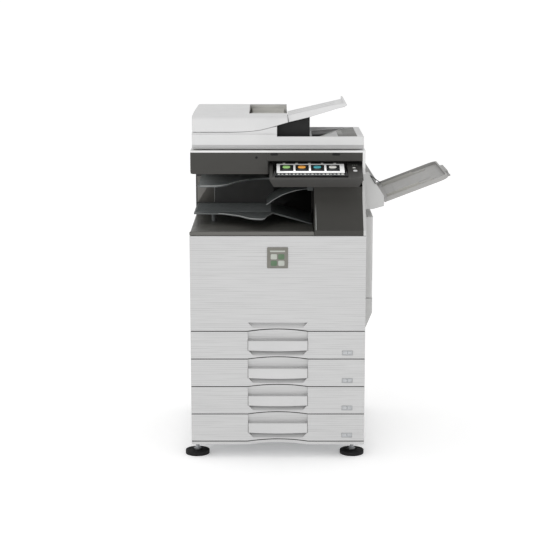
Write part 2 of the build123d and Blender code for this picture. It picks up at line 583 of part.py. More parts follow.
STATION_X = (-180.0, -80.0, 20.0, 120.0)
DRUM_R = 15.0
with BuildPart() as drum_units:
    for station in STATION_X:
        rod(front_plane(ENGINE_BACK + 5), (station, BELT_TOP + DRUM_R + RUN_GAP), DRUM_R,
            ENGINE_BACK - 90)
        rod(front_plane(ENGINE_BACK + 40), (station, BELT_TOP + DRUM_R + RUN_GAP), 6,
            ENGINE_BACK - 25)
save("drum_units", drum_units)

CARTRIDGE_Z = BELT_TOP + 2 * DRUM_R + 2 * RUN_GAP
with BuildPart() as toner_cartridges:
    for station in STATION_X:
        slab((station - 40, station + 40), (50, ENGINE_BACK - 80), (CARTRIDGE_Z, CARTRIDGE_Z + 62))
        slab((station - 12, station + 12), (42, 50), (CARTRIDGE_Z + 10, CARTRIDGE_Z + 50))
save("toner_cartridges", toner_cartridges)

FUSER_X = (HALF_W - 107.0, HALF_W - 19.0)
with BuildPart() as fuser_unit:
    fuser_z = (DECK_SHELF_Z + SHEET, DECK_SHELF_Z + 110)
    slab(FUSER_X, (70, ENGINE_BACK), fuser_z)
    slab((FUSER_X[0] + 6, FUSER_X[1] - 6), (64, ENGINE_BACK + 6),
         (DECK_SHELF_Z + 20, DECK_SHELF_Z + 92), Mode.SUBTRACT)
    for roller_x, roller_r in ((FUSER_X[0] + 30, 17), (FUSER_X[0] + 62, 14.5)):
        rod(front_plane(ENGINE_BACK + 6), (roller_x, DECK_SHELF_Z + 56), roller_r, ENGINE_BACK - 58)
    for end_d in (64, ENGINE_BACK - 2):
        slab(FUSER_X, (end_d, end_d + 8), fuser_z)
save("fuser_unit", fuser_unit)

# ======================= scanner ========================================================
CASE_IN = HALF_W - 3.0
with BuildPart() as scanner_case:
    slab((-HALF_W, HALF_W), (SCANNER_D, SCANNER_BACK), (SCANNER_Z, RIM_Z))
    slab((-HALF_W, HALF_W), (SCANNER_D - FASCIA_T - 1, SCANNER_BACK), (RIM_Z, GLASS_Z))
    slab((PILLAR_RIGHT, HALF_W), (SCANNER_D - FASCIA_T, SCANNER_D), (SCANNER_Z, RIM_Z))
    slab((-CASE_IN, CASE_IN), (WELL_D + 3, SCANNER_BACK - 3), (SCANNER_Z + 3, RIM_Z),
         Mode.SUBTRACT)
    slab((-CASE_IN, WELL_X - LINING - 3), (SCANNER_D + 3, WELL_D + 4), (SCANNER_Z + 3, RIM_Z),
         Mode.SUBTRACT)
    slab((WELL_X - LINING, PILLAR_RIGHT), (SCANNER_D - 1, WELL_D), (SCANNER_Z - 1, WELL_Z + 3),
         Mode.SUBTRACT)
    slab(GLASS_X, GLASS_D, (RIM_Z - 1, GLASS_Z + 1), Mode.SUBTRACT)
    slab((GLASS_X[0] - GLASS_LEDGE, GLASS_X[1] + GLASS_LEDGE),
         (GLASS_D[0] - GLASS_LEDGE, GLASS_D[1] + GLASS_LEDGE), (GLASS_Z - GLASS_T, GLASS_Z + 1),
         Mode.SUBTRACT)
    rod(side_plane(PILLAR_RIGHT - 10), PANEL_AXIS, PANEL_PIN_R, 11)
    for side in (-1, 1):
        edges = sorted((side * (ADF_KNUCKLE_X + 15.5), side * (ADF_KNUCKLE_X + 21.5)))
        for lug_x in (edges, [e - side * 37 for e in edges]):
            slab(lug_x, (SCANNER_BACK - 2, ADF_AXIS[0] + 7), (LUG_FOOT_Z, RIM_Z))
            slab(lug_x, (ADF_AXIS[0] - 7, ADF_AXIS[0] + 7), (RIM_Z, ADF_AXIS[1]))
            rod(side_plane(lug_x[0]), ADF_AXIS, 7, lug_x[1] - lug_x[0])
        rod(side_plane(side * ADF_KNUCKLE_X - 18), ADF_AXIS, 4, 36)
save("scanner_case", scanner_case)

with BuildPart() as scanner_fascia:
    slab((-HALF_W, WELL_X - 2.7), (SCANNER_D - FASCIA_T, SCANNER_D), (SCANNER_Z, RIM_Z))
    fillet(scanner_fascia.edges().filter_by(Axis.Y).group_by(Axis.X)[0].sort_by(Axis.Z)[0],
           radius=9)
    slab((WELL_X - 2.3, PILLAR_RIGHT), (SCANNER_D - FASCIA_T, SCANNER_D), (WELL_Z, RIM_Z))
    slab((WELL_X - LINING, PILLAR_RIGHT), (SCANNER_D, WELL_D), (WELL_Z, WELL_Z + LINING))
    slab((WELL_X - LINING, PILLAR_RIGHT), (WELL_D - LINING, WELL_D), (SCANNER_Z, WELL_Z + 1))
    slab((WELL_X - LINING, WELL_X), (SCANNER_D - 3, WELL_D), (SCANNER_Z, WELL_Z + 1))
    rod(side_plane(WELL_X - 1), PANEL_AXIS, PANEL_PIN_R, 14)
save("scanner_fascia", scanner_fascia)

with BuildPart() as platen_glass:
    slab((GLASS_X[0] - GLASS_LEDGE + RUN_GAP, GLASS_X[1] + GLASS_LEDGE - RUN_GAP),
         (GLASS_D[0] - GLASS_LEDGE + RUN_GAP, GLASS_D[1] + GLASS_LEDGE - RUN_GAP),
         (GLASS_Z - GLASS_T, GLASS_Z))
save("platen_glass", platen_glass)

with BuildPart() as scan_rails:
    for rod_d in ROD_D:
        rod(side_plane(-CASE_IN), (rod_d, ROD_Z), ROD_R, 2 * CASE_IN)
save("scan_rails", scan_rails)

CARRIAGE_X = (GLASS_X[0] - 15.0, GLASS_X[0] + 29.0)
with BuildPart() as scan_carriage:
    slab(CARRIAGE_X, (ROD_D[0] - 10, ROD_D[1] + 10), (ROD_Z - 14, ROD_Z + 12))
    slab((CARRIAGE_X[0] + 8, CARRIAGE_X[1] - 8), (ROD_D[0] + 20, ROD_D[1] - 20),
         (ROD_Z, ROD_Z + 13), Mode.SUBTRACT)
    for rod_d in ROD_D:
        rod(side_plane(CARRIAGE_X[0] - 1), (rod_d, ROD_Z), ROD_R + PIN_GAP,
            CARRIAGE_X[1] - CARRIAGE_X[0] + 2, Mode.SUBTRACT)
save("scan_carriage", scan_carriage)

# ======================= operation panel ================================================
panel_slope = math.atan2(PANEL_REAR[1] - PANEL_FRONT[1], PANEL_REAR[0] - PANEL_FRONT[0])
panel_plane = Plane((CABINET_X, FRONT_Y + PANEL_FRONT[0], PANEL_FRONT[1]), x_dir=(1, 0, 0),
                    z_dir=(0, -math.sin(panel_slope), math.cos(panel_slope)))
panel_seat = panel_plane.offset(-SCREEN_T)


def panel_rectangle(plane, x, s, amount, mode=Mode.ADD):
    """A rectangle on the panel's sloping face, extruded along the face's normal."""
    with BuildSketch(plane) as profile:
        with Locations((sum(x) / 2, sum(s) / 2)):
            Rectangle(x[1] - x[0], s[1] - s[0])
    extrude(profile.sketch, amount=amount, mode=mode)


with BuildPart() as panel_housing:
    section = [PANEL_FRONT, (-10, 963), (18, 934), (62, 950), (118, 978), (PANEL_REAR[0], 984),
               PANEL_REAR]
    prism(side_plane(PANEL_X[0]), section, PANEL_X[1] - PANEL_X[0])
    for side, tip in ((-1, PANEL_X[0]), (1, PANEL_X[1])):
        slant = [(tip, 960), (tip, 920), (tip - side * 14, 920), (tip - side * 14, 934)]
        prism(front_plane(120), slant, 140, Mode.SUBTRACT)
    panel_rectangle(panel_seat, SCREEN_X, SCREEN_S, SCREEN_T + 5, Mode.SUBTRACT)
    with BuildSketch(panel_plane.offset(1)) as key_hole:
        with Locations((KEY_X, KEY_S)):
            Circle(KEY_R + RUN_GAP)
    extrude(key_hole.sketch, amount=-5, mode=Mode.SUBTRACT)
    for bore_x in (PANEL_X[0] - 1, PANEL_X[1] - 9.6):
        rod(side_plane(bore_x), PANEL_AXIS, PANEL_PIN_R + PIN_GAP, 10.6, Mode.SUBTRACT)
save("panel_housing", panel_housing)

with BuildPart() as touch_screen:
    panel_rectangle(panel_seat, (SCREEN_X[0] + RUN_GAP, SCREEN_X[1] - RUN_GAP),
                    (SCREEN_S[0] + RUN_GAP, SCREEN_S[1] - RUN_GAP), SCREEN_T + 0.4)
save("touch_screen", touch_screen)

with BuildPart() as home_key:
    with BuildSketch(panel_plane.offset(-4 + KEY_TRAVEL)) as key:
        with Locations((KEY_X, KEY_S)):
            Circle(KEY_R)
    extrude(key.sketch, amount=4)
save("home_key", home_key)

# ======================= document feeder ================================================
ROLLER = (-60.0, 1106.0)
BASIN_X = ADF_HALF - 10.5
BASIN_D = (112.0, PATH_BACK - 8.0)
with BuildPart() as adf_base:
    rim = [(ADF_D[0] + 13, ADF_Z), (ADF_D[0], 1066), (ADF_D[0], ADF_TOP), (PATH_BACK, ADF_TOP),
           (PATH_BACK, REAR_DECK_Z), (ADF_D[1], REAR_DECK_Z), (ADF_D[1], ADF_Z)]
    prism(side_plane(-ADF_HALF), rim, 2 * ADF_HALF)
    with BuildSketch(front_plane(FEEDER_D[1])) as feeder_side:
        with BuildLine():
            Polyline((-180, 1106.5), (-ADF_HALF, 1106.5), (-ADF_HALF, ADF_TOP - 1),
                     (EXIT_X, ADF_TOP - 1), (EXIT_X, 1127), (-20, 1123.5))
            Spline((-20, 1123.5), (-53, 1115), (-107, 1108.5), (-180, 1106.5),
                   tangents=[(-1, -0.25), (-1, 0)])
        make_face()
    extrude(feeder_side.sketch, amount=FEEDER_D[1] - FEEDER_D[0])
    slab((EXIT_X, ADF_HALF + 1), (ADF_D[0] - 1, ADF_D[1] + 1), (BASIN_RIM, ADF_TOP + 1),
         Mode.SUBTRACT)
    basin = [(EXIT_X, ADF_TOP + 1), (EXIT_X, 1078), (120, 1080), (BASIN_X, BASIN_RIM),
             (BASIN_X, 1120)]
    prism(front_plane(BASIN_D[1]), basin, BASIN_D[1] - BASIN_D[0], Mode.SUBTRACT)
    slab((-ADF_HALF + 16, -24), (126, FEEDER_D[1] - 20), (ADF_Z + 4, 1130), Mode.SUBTRACT)
    slab((-24, BASIN_X), (126, BASIN_D[1]), (ADF_Z + 4, 1074), Mode.SUBTRACT)
    slab((-25, EXIT_X + 1), (150, FEEDER_D[1] - 42), (1090, 1112), Mode.SUBTRACT)
    slab((-ADF_HALF + 16, BASIN_X), (PATH_BACK + 8, ADF_D[1] - 15), (ADF_Z + 4, REAR_DECK_Z - 4),
         Mode.SUBTRACT)
    rod(front_plane(FEEDER_D[1] - 12), ROLLER, ROLLER_SHAFT_R + PIN_GAP,
        FEEDER_D[1] - FEEDER_D[0] - 25, Mode.SUBTRACT)
    for side in (-1, 1):
        edges = sorted((side * (ADF_KNUCKLE_X - 15), side * (ADF_KNUCKLE_X + 15)))
        slab(edges, (ADF_D[1] - 1, ADF_AXIS[0]), (ADF_AXIS[1], ADF_AXIS[1] + 9))
        rod(side_plane(edges[0]), ADF_AXIS, 9, 30)
        rod(side_plane(edges[0] - 1), ADF_AXIS, 4 + PIN_GAP, 32, Mode.SUBTRACT)
    for lug_d in FEEDER_LUG_D:
        slab((FEEDER_AXIS[0] - 3.4, FEEDER_AXIS[0] + 18), lug_d,
             (FEEDER_AXIS[1] - 3.4, FEEDER_AXIS[1] + 3.4))
        slab((FEEDER_AXIS[0] + 10, FEEDER_AXIS[0] + 18), lug_d, (ADF_TOP, FEEDER_AXIS[1] + 3.4))
    rod(front_plane(FEEDER_LUG_D[0][1]), FEEDER_AXIS, FEEDER_PIN_R, 11.5)
    rod(front_plane(FEEDER_LUG_D[1][0] + 11.5), FEEDER_AXIS, FEEDER_PIN_R, 11.5)
save("adf_base", adf_base)

with BuildPart() as adf_roller:
    rod(front_plane(FEEDER_D[1] - 13), ROLLER, ROLLER_SHAFT_R, FEEDER_D[1] - FEEDER_D[0] - 27)
    middle = sum(FEEDER_D) / 2
    for tyre_d in (middle - 68.5, middle + 41.5):
        rod(front_plane(tyre_d + 40), ROLLER, 12, 40)
save("adf_roller", adf_roller)

with BuildPart() as platen_pad:
    slab((GLASS_X[0], GLASS_X[1]), (GLASS_D[0], GLASS_D[1]), (GLASS_Z + RUN_GAP, ADF_Z))
save("platen_pad", platen_pad)

with BuildPart() as feeder_cover:
    back = FEEDER_D[1]
    with BuildSketch(side_plane(-ADF_HALF + 0.5)) as crown:
        with BuildLine():
            Polyline((FEEDER_D[0], 1100), (FEEDER_D[0], 1148))
            ThreePointArc((FEEDER_D[0], 1148), (109, 1156), (118, 1160))
            Spline((118, 1160), (sum(FEEDER_D) / 2, 1171), (back - 22, 1177),
                   tangents=[(1, 0.12), (1, 0.01)])
            ThreePointArc((back - 22, 1177), (back - 7, 1172), (back, 1159))
            Polyline((back, 1159), (back, 1100), (FEEDER_D[0], 1100))
        make_face()
    extrude(crown.sketch, amount=ADF_HALF + 40)
    left = FEEDER_AXIS[0] - FEEDER_R
    with BuildSketch(front_plane(FEEDER_D[1] + 1)) as front_view:
        with BuildLine():
            Line((left, FEEDER_AXIS[1]), (left, 1160))
            ThreePointArc((left, 1160), (left + 6, 1173), (left + 20, 1180))
            Polyline((left + 20, 1180), (31.5, 1180), (31.5, 1162), (34.5, 1141), (-20, 1125))
            Spline((-20, 1125), (-53, 1116.5), (-107, 1110), (-180, 1108.5),
                   tangents=[(-1, -0.25), (-1, 0)])
            Line((-180, 1108.5), (FEEDER_AXIS[0], 1108.5))
            RadiusArc((FEEDER_AXIS[0], 1108.5), (left, FEEDER_AXIS[1]), FEEDER_R)
        make_face()
    extrude(front_view.sketch, amount=FEEDER_D[1] - FEEDER_D[0] + 2, mode=Mode.INTERSECT)
    slab((INLET_X, 60), INLET_D, (INLET_Z, 1180), Mode.SUBTRACT)
    hollow = [(left + 3, 1100), (left + 3, 1144), (left + 10, 1152), (INLET_X - 3, 1152),
              (INLET_X - 3, INLET_Z - 3.5), (-24, INLET_Z - 3.5), (-24, 1100)]
    prism(front_plane(FEEDER_D[1] - 6.5), hollow, FEEDER_D[1] - FEEDER_D[0] - 13, Mode.SUBTRACT)
    rod(front_plane(FEEDER_D[0] + 8), FEEDER_AXIS, FEEDER_PIN_R + PIN_GAP, 7, Mode.SUBTRACT)
    rod(front_plane(FEEDER_D[1] - 1), FEEDER_AXIS, FEEDER_PIN_R + PIN_GAP, 7, Mode.SUBTRACT)
save("feeder_cover", feeder_cover)

GUIDE_X = (-90.0, 22.0)
GUIDE_D = (INLET_D[0] + 10.0, INLET_D[1] - 10.0)
GUIDE_FOOT = 60.0            # depth of each guide's sliding foot
GUIDE_BASE = (INLET_Z + RUN_GAP, INLET_Z + 2.3)
with BuildPart() as document_guide_front:
    slab(GUIDE_X, (GUIDE_D[0], GUIDE_D[0] + GUIDE_FOOT), GUIDE_BASE)
    slab(GUIDE_X, (GUIDE_D[0], GUIDE_D[0] + 3), (GUIDE_BASE[0], 1163))
save("document_guide_front", document_guide_front)

with BuildPart() as document_guide_rear:
    slab(GUIDE_X, (GUIDE_D[1] - GUIDE_FOOT, GUIDE_D[1]), GUIDE_BASE)
    slab(GUIDE_X, (GUIDE_D[1] - 3, GUIDE_D[1]), (GUIDE_BASE[0], 1163))
save("document_guide_rear", document_guide_rear)

SHEAF_D = (FEEDER_D[0] + 10.0, FEEDER_D[1] - 6.0)   # front and back edges of the document tray
TRAY_UNDERSIDE = [(36.3, 1140.3), (106, 1157), (199, 1185), (224, 1191)]
with BuildPart() as document_tray:
    tray_side = [*TRAY_UNDERSIDE, (233, 1197), (229, 1205), (199, 1200.5), (33.5, 1162)]
    prism(front_plane(SHEAF_D[1]), tray_side, SHEAF_D[1] - SHEAF_D[0])
    tray_floor = [(30, 1149.8), (199, 1189), (223, 1194.5), (223, 1210), (30, 1210)]
    prism(front_plane(SHEAF_D[1] + 1), tray_floor, SHEAF_D[1] - SHEAF_D[0] - 5, Mode.SUBTRACT)
save("document_tray", document_tray)

with BuildPart() as tray_support:
    block = [(EXIT_X + 0.2, 1078.6), (EXIT_X + 0.2, 1128), (34, 1138.5), (40, 1140.7),
             (106, 1156.6), (108, 1156.6), (108, 1080.3)]
    prism(front_plane(FEEDER_D[1] - 22), block, FEEDER_D[1] - FEEDER_D[0] - 67)
    slab((EXIT_X - 1, 109), (180, FEEDER_D[1] - 52), (1084, 1112), Mode.SUBTRACT)
save("tray_support", tray_support)

# ======================= right side doors and bypass ====================================


def side_door(outline, inner, z, lugs):
    """A hinged side door: a shell with a solid rear edge that carries its pins."""
    prism(front_plane(DOOR_D[1]), outline, DOOR_D[1] - DOOR_D[0])
    prism(front_plane(DOOR_D[1] - 18), inner, DOOR_D[1] - DOOR_D[0] - 18 - DOOR_WALL,
          Mode.SUBTRACT)
    axis = (DOOR_X[0] + DOOR_R, DOOR_D[1] - DOOR_R)
    with BuildSketch(level_plane(z[0])) as corner:
        with Locations((axis[0] - DOOR_R / 2 - 0.5, axis[1] + DOOR_R / 2 + 0.5)):
            Rectangle(DOOR_R + 1, DOOR_R + 1)
        with Locations(axis):
            Circle(DOOR_R, mode=Mode.SUBTRACT)
    extrude(corner.sketch, amount=z[1] - z[0], mode=Mode.SUBTRACT)
    for lug_z in lugs:
        rod(level_plane(lug_z - 0.5), axis, 8, 13, Mode.SUBTRACT)
        rod(level_plane(lug_z - 8.5), axis, DOOR_PIN_R + PIN_GAP, 29, Mode.SUBTRACT)


with BuildPart() as right_door:
    x_in, x_out = DOOR_X
    side_door([(x_in, DOOR_Z[0]), (x_out, DOOR_Z[0]), (x_out, DOOR_Z[1]), (x_in, DOOR_Z[1])],
              [(x_in - 1, DOOR_Z[0] + DOOR_WALL), (x_out - DOOR_WALL, DOOR_Z[0] + DOOR_WALL),
               (x_out - DOOR_WALL, DOOR_Z[1] - DOOR_WALL), (x_in - 1, DOOR_Z[1] - DOOR_WALL)],
              DOOR_Z, DOOR_LUGS)
    fillet(right_door.edges().filter_by(Axis.Z).group_by(Axis.Y)[0].sort_by(Axis.X)[-1], radius=9)
    slab((x_out - 18.5, x_out - 1), (DOOR_D[0] + 2, DOOR_D[0] + 44), (590, 660))
    slab((x_out - 13.5, x_out + 1), (DOOR_D[0] + 12, DOOR_D[0] + 34), (600, 650), Mode.SUBTRACT)
save("right_door", right_door)

with BuildPart() as lower_right_door:
    low, high = LOW_DOOR_Z
    side_door([(x_in, low), (x_in + 9.5, low), (x_out, 478), (x_out, high), (x_in, high)],
              [(x_in - 1, low + DOOR_WALL), (x_in + 7.5, low + DOOR_WALL), (x_out - DOOR_WALL, 480),
               (x_out - DOOR_WALL, high - DOOR_WALL), (x_in - 1, high - DOOR_WALL)],
              LOW_DOOR_Z, LOW_DOOR_LUGS)
save("lower_right_door", lower_right_door)

with BuildPart() as bypass_housing:
    cheek = [(HALF_W, 840), (HALF_W + 30, 840), (HALF_W + 68, 851), (HALF_W + 68, 885),
             (HALF_W + 15, 966), (HALF_W, 966)]
    prism(front_plane(BYPASS_D[1]), cheek, BYPASS_D[1] - BYPASS_D[0])
    inside = [(HALF_W + 4, 847), (HALF_W + 29, 847), (HALF_W + 69, 858), (HALF_W + 75, 990),
              (HALF_W + 4, 990)]
    prism(front_plane(BYPASS_D[1] - BYPASS_CHEEK), inside,
          BYPASS_D[1] - BYPASS_D[0] - 2 * BYPASS_CHEEK, Mode.SUBTRACT)
    slab((HALF_W - 1, HALF_W + 5), SLOT_D, (866, 892), Mode.SUBTRACT)
    rod(front_plane(BYPASS_D[1] - 2), BYPASS_AXIS, 4 + PIN_GAP, BYPASS_D[1] - BYPASS_D[0] - 4,
        Mode.SUBTRACT)
save("bypass_housing", bypass_housing)

tilt = math.radians(BYPASS_TILT)
bypass_plane = Plane((CABINET_X + BYPASS_AXIS[0], FRONT_Y, BYPASS_AXIS[1]),
                     x_dir=(math.cos(tilt), 0, math.sin(tilt)),
                     z_dir=(-math.sin(tilt), 0, math.cos(tilt)))
PAN_D = (BYPASS_D[0] + 18.0, BYPASS_D[1] - 18.0)
PAN_U = (12.0, BYPASS_LENGTH)
PAN_FLOOR = -6.0
PAN_UNDER = -10.0
SLIDE_D = (PAN_D[0] + 62.0, PAN_D[1] - 62.0)
SLIDE_T = 4.0


def bypass_block(u, d, v, mode=Mode.ADD):
    """A block in the bypass tray's own directions: along it, across it and up from it."""
    with BuildSketch(bypass_plane.offset(v[0])) as profile:
        with Locations((sum(u) / 2, sum(d) / 2)):
            Rectangle(u[1] - u[0], d[1] - d[0])
    extrude(profile.sketch, amount=v[1] - v[0], mode=mode)


with BuildPart() as bypass_tray:
    for margin, v, mode in ((0, (PAN_UNDER, 4), Mode.ADD), (5, (PAN_FLOOR, 5), Mode.SUBTRACT)):
        with BuildSketch(bypass_plane.offset(v[0])) as pan:
            with Locations((sum(PAN_U) / 2, sum(PAN_D) / 2)):
                Rectangle(PAN_U[1] - PAN_U[0] - 2 * margin, PAN_D[1] - PAN_D[0] - 2 * margin)
            fillet(pan.vertices().group_by(Axis.X)[-1], radius=34 - margin)
        extrude(pan.sketch, amount=v[1] - v[0], mode=mode)
    bypass_block((PAN_U[0] - 1, PAN_U[0] + 8), (PAN_D[0] + 22, PAN_D[1] - 22), (PAN_FLOOR, 6),
                 Mode.SUBTRACT)
    for side_d in ((PAN_D[0] - 9, PAN_D[0] + 5), (PAN_D[1] - 5, PAN_D[1] + 9)):
        bypass_block((-7, 20), side_d, (-6, 4))
    for rail_d, lip_d in (((SLIDE_D[0] - 8, SLIDE_D[0] - RUN_GAP), (SLIDE_D[0] - 8, SLIDE_D[0] + 6)),
                          ((SLIDE_D[1] + RUN_GAP, SLIDE_D[1] + 8), (SLIDE_D[1] - 6, SLIDE_D[1] + 8))):
        bypass_block((60, 240), rail_d, (PAN_UNDER - SLIDE_T - 3, PAN_UNDER))
        bypass_block((60, 240), lip_d, (PAN_UNDER - SLIDE_T - 3, PAN_UNDER - SLIDE_T - 2 * RUN_GAP))
    rod(front_plane(BYPASS_D[0] + 20), BYPASS_AXIS, 4, 17)
    rod(front_plane(BYPASS_D[1] - 3), BYPASS_AXIS, 4, 17)
save("bypass_tray", bypass_tray)

with BuildPart() as bypass_extension:
    bypass_block((112, 258), SLIDE_D, (PAN_UNDER - SLIDE_T - RUN_GAP, PAN_UNDER - RUN_GAP))
    bypass_block((247, 258), (SLIDE_D[0] + 60, SLIDE_D[1] - 60), (PAN_UNDER - 1, -2))
save("bypass_extension", bypass_extension)
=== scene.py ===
"""Looks for the floor-standing photocopier: materials, fine detail, studio and camera.

Lengths are in metres, in the row frame. Local places on the cabinet are given as x from its
centre plane, d behind its front face and z above the floor, as the model's own drawings do.
"""
import bpy
import bmesh
import math
import random
from mathutils import Matrix, Vector


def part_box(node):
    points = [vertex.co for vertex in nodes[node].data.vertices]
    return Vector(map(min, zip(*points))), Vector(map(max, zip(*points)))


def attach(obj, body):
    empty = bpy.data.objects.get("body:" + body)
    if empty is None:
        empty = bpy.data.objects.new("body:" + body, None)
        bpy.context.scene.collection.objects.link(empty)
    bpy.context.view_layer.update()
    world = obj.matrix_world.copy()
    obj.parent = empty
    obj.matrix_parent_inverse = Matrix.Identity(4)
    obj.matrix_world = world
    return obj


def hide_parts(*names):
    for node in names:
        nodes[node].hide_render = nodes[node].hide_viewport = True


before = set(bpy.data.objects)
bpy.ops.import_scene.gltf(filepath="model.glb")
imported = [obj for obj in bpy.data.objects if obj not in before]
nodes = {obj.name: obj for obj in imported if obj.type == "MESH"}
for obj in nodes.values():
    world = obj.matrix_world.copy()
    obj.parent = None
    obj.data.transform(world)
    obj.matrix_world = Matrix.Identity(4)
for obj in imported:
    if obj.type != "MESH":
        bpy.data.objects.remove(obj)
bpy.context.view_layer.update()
rng = random.Random(7)

# ---- the cabinet's own axes, read from the frame ---------------------------------------
cover_low, cover_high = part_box("front_cover")
CENTRE_X = (cover_low.x + cover_high.x) / 2
FRONT_Y = cover_low.y
HALF_W = (cover_high.x - cover_low.x) / 2
MM = 0.001


def at(x, d, z):
    """A point in the row frame from millimetres on the cabinet."""
    return Vector((CENTRE_X + x * MM, FRONT_Y + d * MM, z * MM))


# ======================= materials ======================================================
def srgb(r, g, b):
    """Linear colour from the usual 0-255 values."""
    def linear(v):
        v = v / 255
        return v / 12.92 if v <= 0.04045 else ((v + 0.055) / 1.055) ** 2.4
    return (linear(r), linear(g), linear(b), 1.0)


RIB_PITCH = 0.0066           # fine ribs of the front panels
WAVE_SPAN = 20               # the band texture repeats every 2 pi / 20 at scale 1


class Paint:
    """A small builder for node materials: one shader, with helpers for the usual layers."""

    def __init__(self, name, colour, roughness, metallic=0.0, specular=0.5, coat=0.0):
        self.material = bpy.data.materials.new(name)
        self.material.use_nodes = True
        self.tree = self.material.node_tree
        self.shader = self.tree.nodes["Principled BSDF"]
        self.shader.inputs["Base Color"].default_value = colour
        self.shader.inputs["Roughness"].default_value = roughness
        self.shader.inputs["Metallic"].default_value = metallic
        self.shader.inputs["Specular IOR Level"].default_value = specular
        self.shader.inputs["Coat Weight"].default_value = coat
        self.colour = colour
        self.place = self.tree.nodes.new("ShaderNodeTexCoord").outputs["Object"]
        self.height = None

    def add(self, kind, **settings):
        node = self.tree.nodes.new(kind)
        for key, value in settings.items():
            setattr(node, key, value)
        return node

    def link(self, a, b):
        self.tree.links.new(a, b)

    def stretched(self, scale):
        mapping = self.add("ShaderNodeMapping")
        mapping.inputs["Scale"].default_value = scale
        self.link(self.place, mapping.inputs["Vector"])
        return mapping.outputs["Vector"]

    def noise(self, scale, detail=3.0, stretch=(1, 1, 1), roughness=0.5):
        node = self.add("ShaderNodeTexNoise")
        node.inputs["Scale"].default_value = scale
        node.inputs["Detail"].default_value = detail
        node.inputs["Roughness"].default_value = roughness
        self.link(self.stretched(stretch), node.inputs["Vector"])
        return node.outputs["Fac"]

    def ramp(self, value, low, high, out_low, out_high):
        node = self.add("ShaderNodeMapRange")
        for name, number in (("From Min", low), ("From Max", high),
                             ("To Min", out_low), ("To Max", out_high)):
            node.inputs[name].default_value = number
        self.link(value, node.inputs["Value"])
        return node.outputs["Result"]

    def math(self, operation, a, b):
        node = self.add("ShaderNodeMath", operation=operation)
        for socket, value in zip(node.inputs, (a, b)):
            if isinstance(value, (int, float)):
                socket.default_value = value
            else:
                self.link(value, socket)
        return node.outputs[0]

    def tint(self, value, dark, light):
        """The base colour runs between two multiples of itself as value goes from 0 to 1."""
        mix = self.add("ShaderNodeMix", data_type="RGBA")
        for socket, gain in ((mix.inputs[6], dark), (mix.inputs[7], light)):
            socket.default_value = tuple(min(c * gain, 1.0) for c in self.colour[:3]) + (1.0,)
        self.link(value, mix.inputs[0])
        self.link(mix.outputs[2], self.shader.inputs["Base Color"])

    def gloss(self, value, low, high):
        self.link(self.ramp(value, 0.3, 0.7, low, high), self.shader.inputs["Roughness"])

    def bump(self, value, strength, distance):
        node = self.add("ShaderNodeBump")
        node.inputs["Strength"].default_value = strength
        node.inputs["Distance"].default_value = distance
        self.link(value, node.inputs["Height"])
        if self.height is not None:
            self.link(self.height, node.inputs["Normal"])
        self.height = node.outputs["Normal"]
        self.link(self.height, self.shader.inputs["Normal"])


def moulded(name, colour, roughness=0.45, grain=900, depth=0.00003, specular=0.5, spread=0.03):
    """Moulded plastic: spark-eroded grain, faint flow shading and slightly uneven gloss."""
    paint = Paint(name, colour, roughness, specular=specular)
    cloud = paint.noise(6.0, 2.0)
    paint.tint(paint.ramp(cloud, 0.3, 0.7, 0.0, 1.0), 1 - spread, 1 + spread)
    paint.gloss(paint.noise(35.0, 4.0), roughness - 0.05, roughness + 0.07)
    paint.bump(paint.noise(grain, 2.0), 0.35, depth)
    return paint.material


def ribbed_panel(name, colour):
    """The front panels: fine horizontal ribs of uneven strength, broken along their length. The
    rib lines also darken the colour: painted shade of the rib relief.
    """
    paint = Paint(name, colour, 0.42)
    wave = paint.add("ShaderNodeTexWave", wave_type="BANDS", bands_direction="Z",
                     wave_profile="SIN")
    wave.inputs["Scale"].default_value = 2 * math.pi / (WAVE_SPAN * RIB_PITCH)
    wave.inputs["Distortion"].default_value = 0.0
    paint.link(paint.place, wave.inputs["Vector"])
    fine = paint.noise(1.0, 1.0, stretch=(7, 7, 620))
    long_lines = paint.ramp(fine, 0.42, 0.62, 0.0, 1.0)
    lines = paint.math("MULTIPLY", wave.outputs["Fac"], long_lines)
    cloud = paint.noise(5.0, 2.0)
    # the rib lines' darkening is painted shade of the ribs; the cloud adds random tone
    shade = paint.math("ADD", paint.math("MULTIPLY", lines, 0.75),
                       paint.math("MULTIPLY", cloud, 0.25))
    paint.tint(shade, 1.06, 0.82)
    paint.gloss(paint.noise(30.0, 3.0), 0.36, 0.48)
    paint.bump(lines, 0.5, 0.00025)
    paint.bump(paint.noise(1100, 2.0), 0.25, 0.00002)
    return paint.material


def metal(name, colour, roughness, stretch=(1, 1, 1), scale=400, depth=0.00003):
    """Plated or brushed metal with drawn lines along one direction."""
    paint = Paint(name, colour, roughness, metallic=1.0)
    lines = paint.noise(scale, 3.0, stretch=stretch)
    paint.tint(lines, 0.85, 1.12)
    paint.gloss(paint.noise(60, 3.0), roughness - 0.06, roughness + 0.1)
    paint.bump(lines, 0.3, depth)
    return paint.material


def rubber(name, colour, roughness=0.75):
    paint = Paint(name, colour, roughness, specular=0.35)
    paint.tint(paint.noise(40, 4.0), 0.7, 1.5)
    paint.gloss(paint.noise(90, 3.0), roughness - 0.12, roughness + 0.1)
    paint.bump(paint.noise(700, 3.0), 0.5, 0.00006)
    return paint.material


def glass(name, colour, alpha):
    paint = Paint(name, colour, 0.04, specular=0.6, coat=0.4)
    paint.shader.inputs["Alpha"].default_value = alpha
    paint.gloss(paint.noise(18, 4.0), 0.03, 0.08)
    paint.bump(paint.noise(8, 2.0), 0.02, 0.0005)
    return paint.material


def lit(name, colour, strength):
    """A lit part of the display, with the faint grid of its pixels."""
    paint = Paint(name, colour, 0.25)
    paint.shader.inputs["Emission Color"].default_value = colour
    paint.shader.inputs["Emission Strength"].default_value = strength
    paint.tint(paint.noise(2400, 1.0), 0.96, 1.04)
    return paint.material


